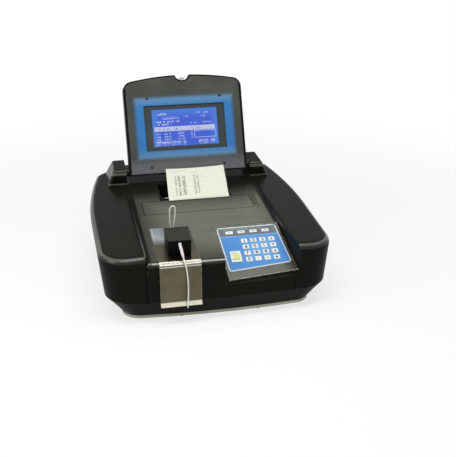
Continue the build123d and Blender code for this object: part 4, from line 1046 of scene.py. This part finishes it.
def sample_cap(look):
    """The large key: white, with a yellow patch and two dark rules."""
    finish = Finish("sample key cap", look.key_colour, 0.4, specular=0.4)
    spot = finish.spot(keypad_panel)
    patch = finish.rectangle(spot, (30.0, -66.5), (5.6, 6.5), 3.0)
    finish.lay(patch, (0.66, 0.72, 0.26))
    for middle, half in ((-58.6, 4.5), (-71.0, 6.0)):
        rule = finish.rectangle(spot, (27.5, middle), (half, 0.55), 0.5)
        finish.lay(rule * 0.75, (0.12, 0.13, 0.13))
    finish.apply("sample_key")


class ANALYZER_OT_keypad(PieceOperator, bpy.types.Operator):
    """Finish the keypad and print its keys"""

    bl_idname = "analyzer.keypad"
    bl_label = "Keypad"

    legends = (("1", "2", "3", "▲"), ("4", "5", "6", "▼"), ("7", "8", "9", "◄"), ("0", ".", "-", "■"))
    print_height = 0.76  # of the legends over the panel, just over the keys' tops

    def execute(self, context):
        look = settings().keypad
        metal(
            "keypad plate", look.plate_colour, 0.42, (14.0, 900.0, 900.0), "keypad_plate",
            depth=0.4, wear=1.3, reach=0.0011, edge=(0.72, 0.72, 0.66),
        )
        overlay_finish(look)
        sample_cap(look)
        ink = Finish("legend ink", look.legend_colour, 0.5, specular=0.3).material
        digit_height, sign_height = 7.0, 3.2
        prints = {}
        for row, line in enumerate(self.legends):
            for column, character in enumerate(line):
                centre = (48.0 + 14.3 * column, -35.4 - 12.6 * row)
                height = digit_height if column < 3 else sign_height
                prints["key_row%d_col%d" % (row + 1, column + 1)] = self.legend(character, centre, height)
        for column in range(4):
            prints["function_key_%d" % (column + 1)] = self.dash((28.0 + 19.0 * column, -16.6))
        for key, mesh in prints.items():
            add_piece("legend_" + key, mesh, ink, key, smooth=False)
        moulded("key caps", look.key_colour, 0.4, 0.5, 0.0, *prints, wear=0.0)
        return {"FINISHED"}

    def legend(self, character, centre, height):
        """One character on a key, as a thin raised print."""
        text = bpy.data.curves.new("legend", "FONT")
        text.body = character
        text.size = height * MM * 1.25
        text.align_x = "CENTER"
        text.align_y = "CENTER"
        text.extrude = 0.00003
        text.offset = 0.0002
        holder = add_object("legend", text)
        mesh = evaluated_mesh(holder)
        bpy.data.objects.remove(holder)
        xs = [v.co.x for v in mesh.vertices]
        ys = [v.co.y for v in mesh.vertices]
        middle = Vector(((min(xs) + max(xs)) / 2, (min(ys) + max(ys)) / 2, 0))
        mesh.transform(on_panel(keypad_panel, *centre, self.print_height) @ Matrix.Translation(-middle))
        mesh.materials.clear()
        return mesh

    def dash(self, centre):
        """A plain dash on a function key, rounded at its ends."""
        width, height, thickness = 5.0 * MM, 1.0 * MM, 0.06 * MM

        def build(shape):
            box(shape, (width, height, thickness))
            corners = [e for e in shape.edges if abs(e.verts[0].co.z - e.verts[1].co.z) > thickness / 2]
            bmesh.ops.bevel(shape, geom=corners, offset=height * 0.45, segments=4, affect="EDGES")

        return mesh_from(build, "dash", on_panel(keypad_panel, *centre, self.print_height))


class ANALYZER_OT_rear_panel(PieceOperator, bpy.types.Operator):
    """Finish the rear panel and its fittings"""

    bl_idname = "analyzer.rear_panel"
    bl_label = "Rear panel"

    def execute(self, context):
        fittings = ("power_inlet", "fan_frame", "fan_rotor")
        moulded("panel paint", (0.16, 0.16, 0.15), 0.45, 0.9, 0.1, "rear_panel")
        moulded("inlet black", (0.014, 0.014, 0.014), 0.4, 0.5, 0.1, *fittings)
        moulded("switch black", (0.02, 0.02, 0.02), 0.28, 0.4, 0.1, "rocker_switch")
        metal("socket steel", (0.6, 0.6, 0.6), 0.28, (60.0, 60.0, 600.0), "data_sockets")
        # the usual bar and ring of a rocker, on its two faces
        ink = Finish("rear ink", (0.75, 0.75, 0.72), 0.5).material
        print_depth = 0.00006
        ring = lathe([(1.5, 0.0), (0.9, 0.0), (0.9, print_depth / MM), (1.5, print_depth / MM)], 28, closed=True)
        rocker = Matrix.Translation((-0.052, 0.1966, 0.094)) @ Matrix.Rotation(radians(-8), 4, "X")
        slope = (2.2 - 1.2) / 6.4  # of each face of the rocker
        for name, build, height, sense, turn in (
            ("bar", lambda shape: box(shape, (0.0007, print_depth, 0.0030)), 3.4, 1, 0.0),
            ("ring", ring, -3.4, -1, -pi / 2),
        ):
            depth = (1.2 + slope * abs(height)) * MM + print_depth / 2
            face = Matrix.Rotation(sense * slope, 4, "X").inverted()
            place = rocker @ Matrix.Translation((0, depth, height * MM)) @ face @ Matrix.Rotation(turn, 4, "X")
            mesh = mesh_from(build, "switch_" + name, place)
            add_piece("switch_" + name, mesh, ink, "rocker_switch", smooth=False)
        return {"FINISHED"}


class ANALYZER_OT_inside(PieceOperator, bpy.types.Operator):
    """Finish the parts inside the housing"""

    bl_idname = "analyzer.inside"
    bl_label = "Inside"

    def execute(self, context):
        moulded("board green", (0.015, 0.12, 0.045), 0.35, 1.5, 0.05, "main_board")
        moulded("motor paint", (0.10, 0.10, 0.105), 0.4, 0.7, 0.05, "filter_motor", "light_detector")
        moulded("pump grey", (0.30, 0.30, 0.29), 0.4, 0.7, 0.05, "pump_head")
        moulded("pump white", (0.7, 0.7, 0.68), 0.35, 0.7, 0.0, "pump_rotor")
        metal("supply case", (0.55, 0.55, 0.54), 0.4, (40.0, 500.0, 500.0), "power_supply")
        turned = (300.0, 300.0, 300.0)
        metal("optics metal", (0.22, 0.22, 0.23), 0.45, turned, "optics_bench", "filter_wheel")
        lamp = Finish("lamp glass", (0.8, 0.8, 0.78), 0.1)
        lamp.apply("halogen_lamp", Roughness=lamp.noise(300.0).ramp(0.3, 0.7, 0.05, 0.25))
        return {"FINISHED"}


class ANALYZER_OT_studio(PieceOperator, bpy.types.Operator):
    """Set up the pale floor, the soft lights and the white surroundings"""

    bl_idname = "analyzer.studio"
    bl_label = "Studio"

    def execute(self, context):
        studio = settings().studio
        self.surroundings(studio)
        self.floor(studio)
        # name, place, what it points at, size, power
        lights = (
            ("key softbox", (-0.75, -0.95, 1.65), (0.0, 0.0, 0.10), (1.1, 0.9), studio.key_power),
            ("side softbox", (-1.55, -0.30, 0.95), (0.0, 0.0, 0.08), (0.9, 0.7), studio.fill_power),
            ("front tube", (-0.1, -0.55, 1.45), (-0.1, -0.55, 0.0), (1.5, 0.06), studio.front_tube_power),
            ("middle tube", (0.0, -0.20, 1.50), (0.0, -0.20, 0.0), (1.5, 0.05), studio.tube_power),
            ("rear tube", (0.1, 0.35, 1.45), (0.1, 0.35, 0.0), (1.5, 0.05), studio.tube_power),
        )
        for name, place, target, size, power in lights:
            light = bpy.data.lights.new(name, "AREA")
            light.shape = "RECTANGLE"
            light.size, light.size_y = size
            light.energy = power
            aim(add_object(name, light), place, Vector(target) - Vector(place))
        context.scene.view_settings.view_transform = "Standard"
        return {"FINISHED"}

    def seen_directly(self, wiring):
        """1 for rays from the camera, off gloss or through glass, 0 for the light that falls on things."""
        kinds = ("Camera", "Glossy", "Transmission")
        return combine("MAXIMUM", *(wiring.node("LightPath", output="Is %s Ray" % kind) for kind in kinds))

    def surroundings(self, studio):
        """White where it is seen, an even soft light where it falls."""
        world = bpy.context.scene.world = bpy.data.worlds.new("studio")
        world.use_nodes = True
        wiring = Wiring(world.node_tree)
        ground = world.node_tree.nodes["Background"].inputs
        wiring.feed(ground["Color"], (1, 1, 1))
        room = self.seen_directly(wiring).line(1.0 - studio.room_light, studio.room_light)
        wiring.feed(ground["Strength"], room)

    def floor(self, studio):
        """A plain pale floor that keeps the object's shadow."""

        def build(shape):
            bmesh.ops.create_grid(shape, x_segments=2, y_segments=2, size=6.0)

        mesh = mesh_from(build, "floor")
        piece = add_object("floor", mesh)
        piece.location.z = -0.0002
        finish = Finish("pale floor", studio.floor_colour, 0.9, specular=0.1)
        mesh.materials.append(finish.apply(Roughness=finish.noise(40.0).ramp(0.3, 0.7, 0.85, 0.95)))
        glow = finish.node("Emission", {"Color": (1, 1, 1), "Strength": 1.0})
        # the bench top turns into the white surroundings away from the instrument
        away = finish.vector("LENGTH", finish.place(), output="Value").ramp(0.30, 1.1, 0.72, 1.0)
        lit = Signal(finish, finish.shader.outputs[0])
        both = finish.node("MixShader", {0: self.seen_directly(finish) * away, 1: lit, 2: glow})
        finish.feed(finish.tree.nodes["Material Output"].inputs["Surface"], both)


STEPS = (
    ANALYZER_OT_camera,
    ANALYZER_OT_tubing,
    ANALYZER_OT_housing,
    ANALYZER_OT_lid,
    ANALYZER_OT_display,
    ANALYZER_OT_printer,
    ANALYZER_OT_drip_plate,
    ANALYZER_OT_flow_cell,
    ANALYZER_OT_keypad,
    ANALYZER_OT_rear_panel,
    ANALYZER_OT_inside,
    ANALYZER_OT_studio,
)


class ANALYZER_PT_panel(bpy.types.Panel):
    """The instrument's settings and the operators that make it"""

    bl_idname = "ANALYZER_PT_panel"
    bl_label = "Benchtop Analyzer"
    bl_space_type = "VIEW_3D"
    bl_region_type = "UI"
    bl_category = "Analyzer"

    def draw(self, context):
        layout = self.layout
        for group in AnalyzerSettings.__annotations__:
            part = layout.box()
            part.label(text=group.title())
            owner = getattr(context.scene.analyzer, group)
            for item in owner.__annotations__:
                part.prop(owner, item)
        for step in STEPS:
            layout.operator(step.bl_idname)


CLASSES = (
    HousingSettings,
    LidSettings,
    DisplaySettings,
    KeypadSettings,
    MetalSettings,
    PaperSettings,
    TubeSettings,
    StudioSettings,
    AnalyzerSettings,
    *STEPS,
    ANALYZER_PT_panel,
)


def register():
    for item in CLASSES:
        bpy.utils.register_class(item)
    bpy.types.Scene.analyzer = PointerProperty(type=AnalyzerSettings)


def unregister():
    del bpy.types.Scene.analyzer
    for item in reversed(CLASSES):
        bpy.utils.unregister_class(item)


def main():
    """Register, and make every piece in order."""
    register()
    for make_group in (
        make_panel_place, make_soft_rectangle, make_dot_marks, make_moulded_grain, make_edge_wear,
        make_polish, make_brushed_grain,
    ):
        make_group()
    for step in STEPS:
        family, action = step.bl_idname.split(".")
        getattr(getattr(bpy.ops, family), action)()


if __name__ == "__main__":
    main()
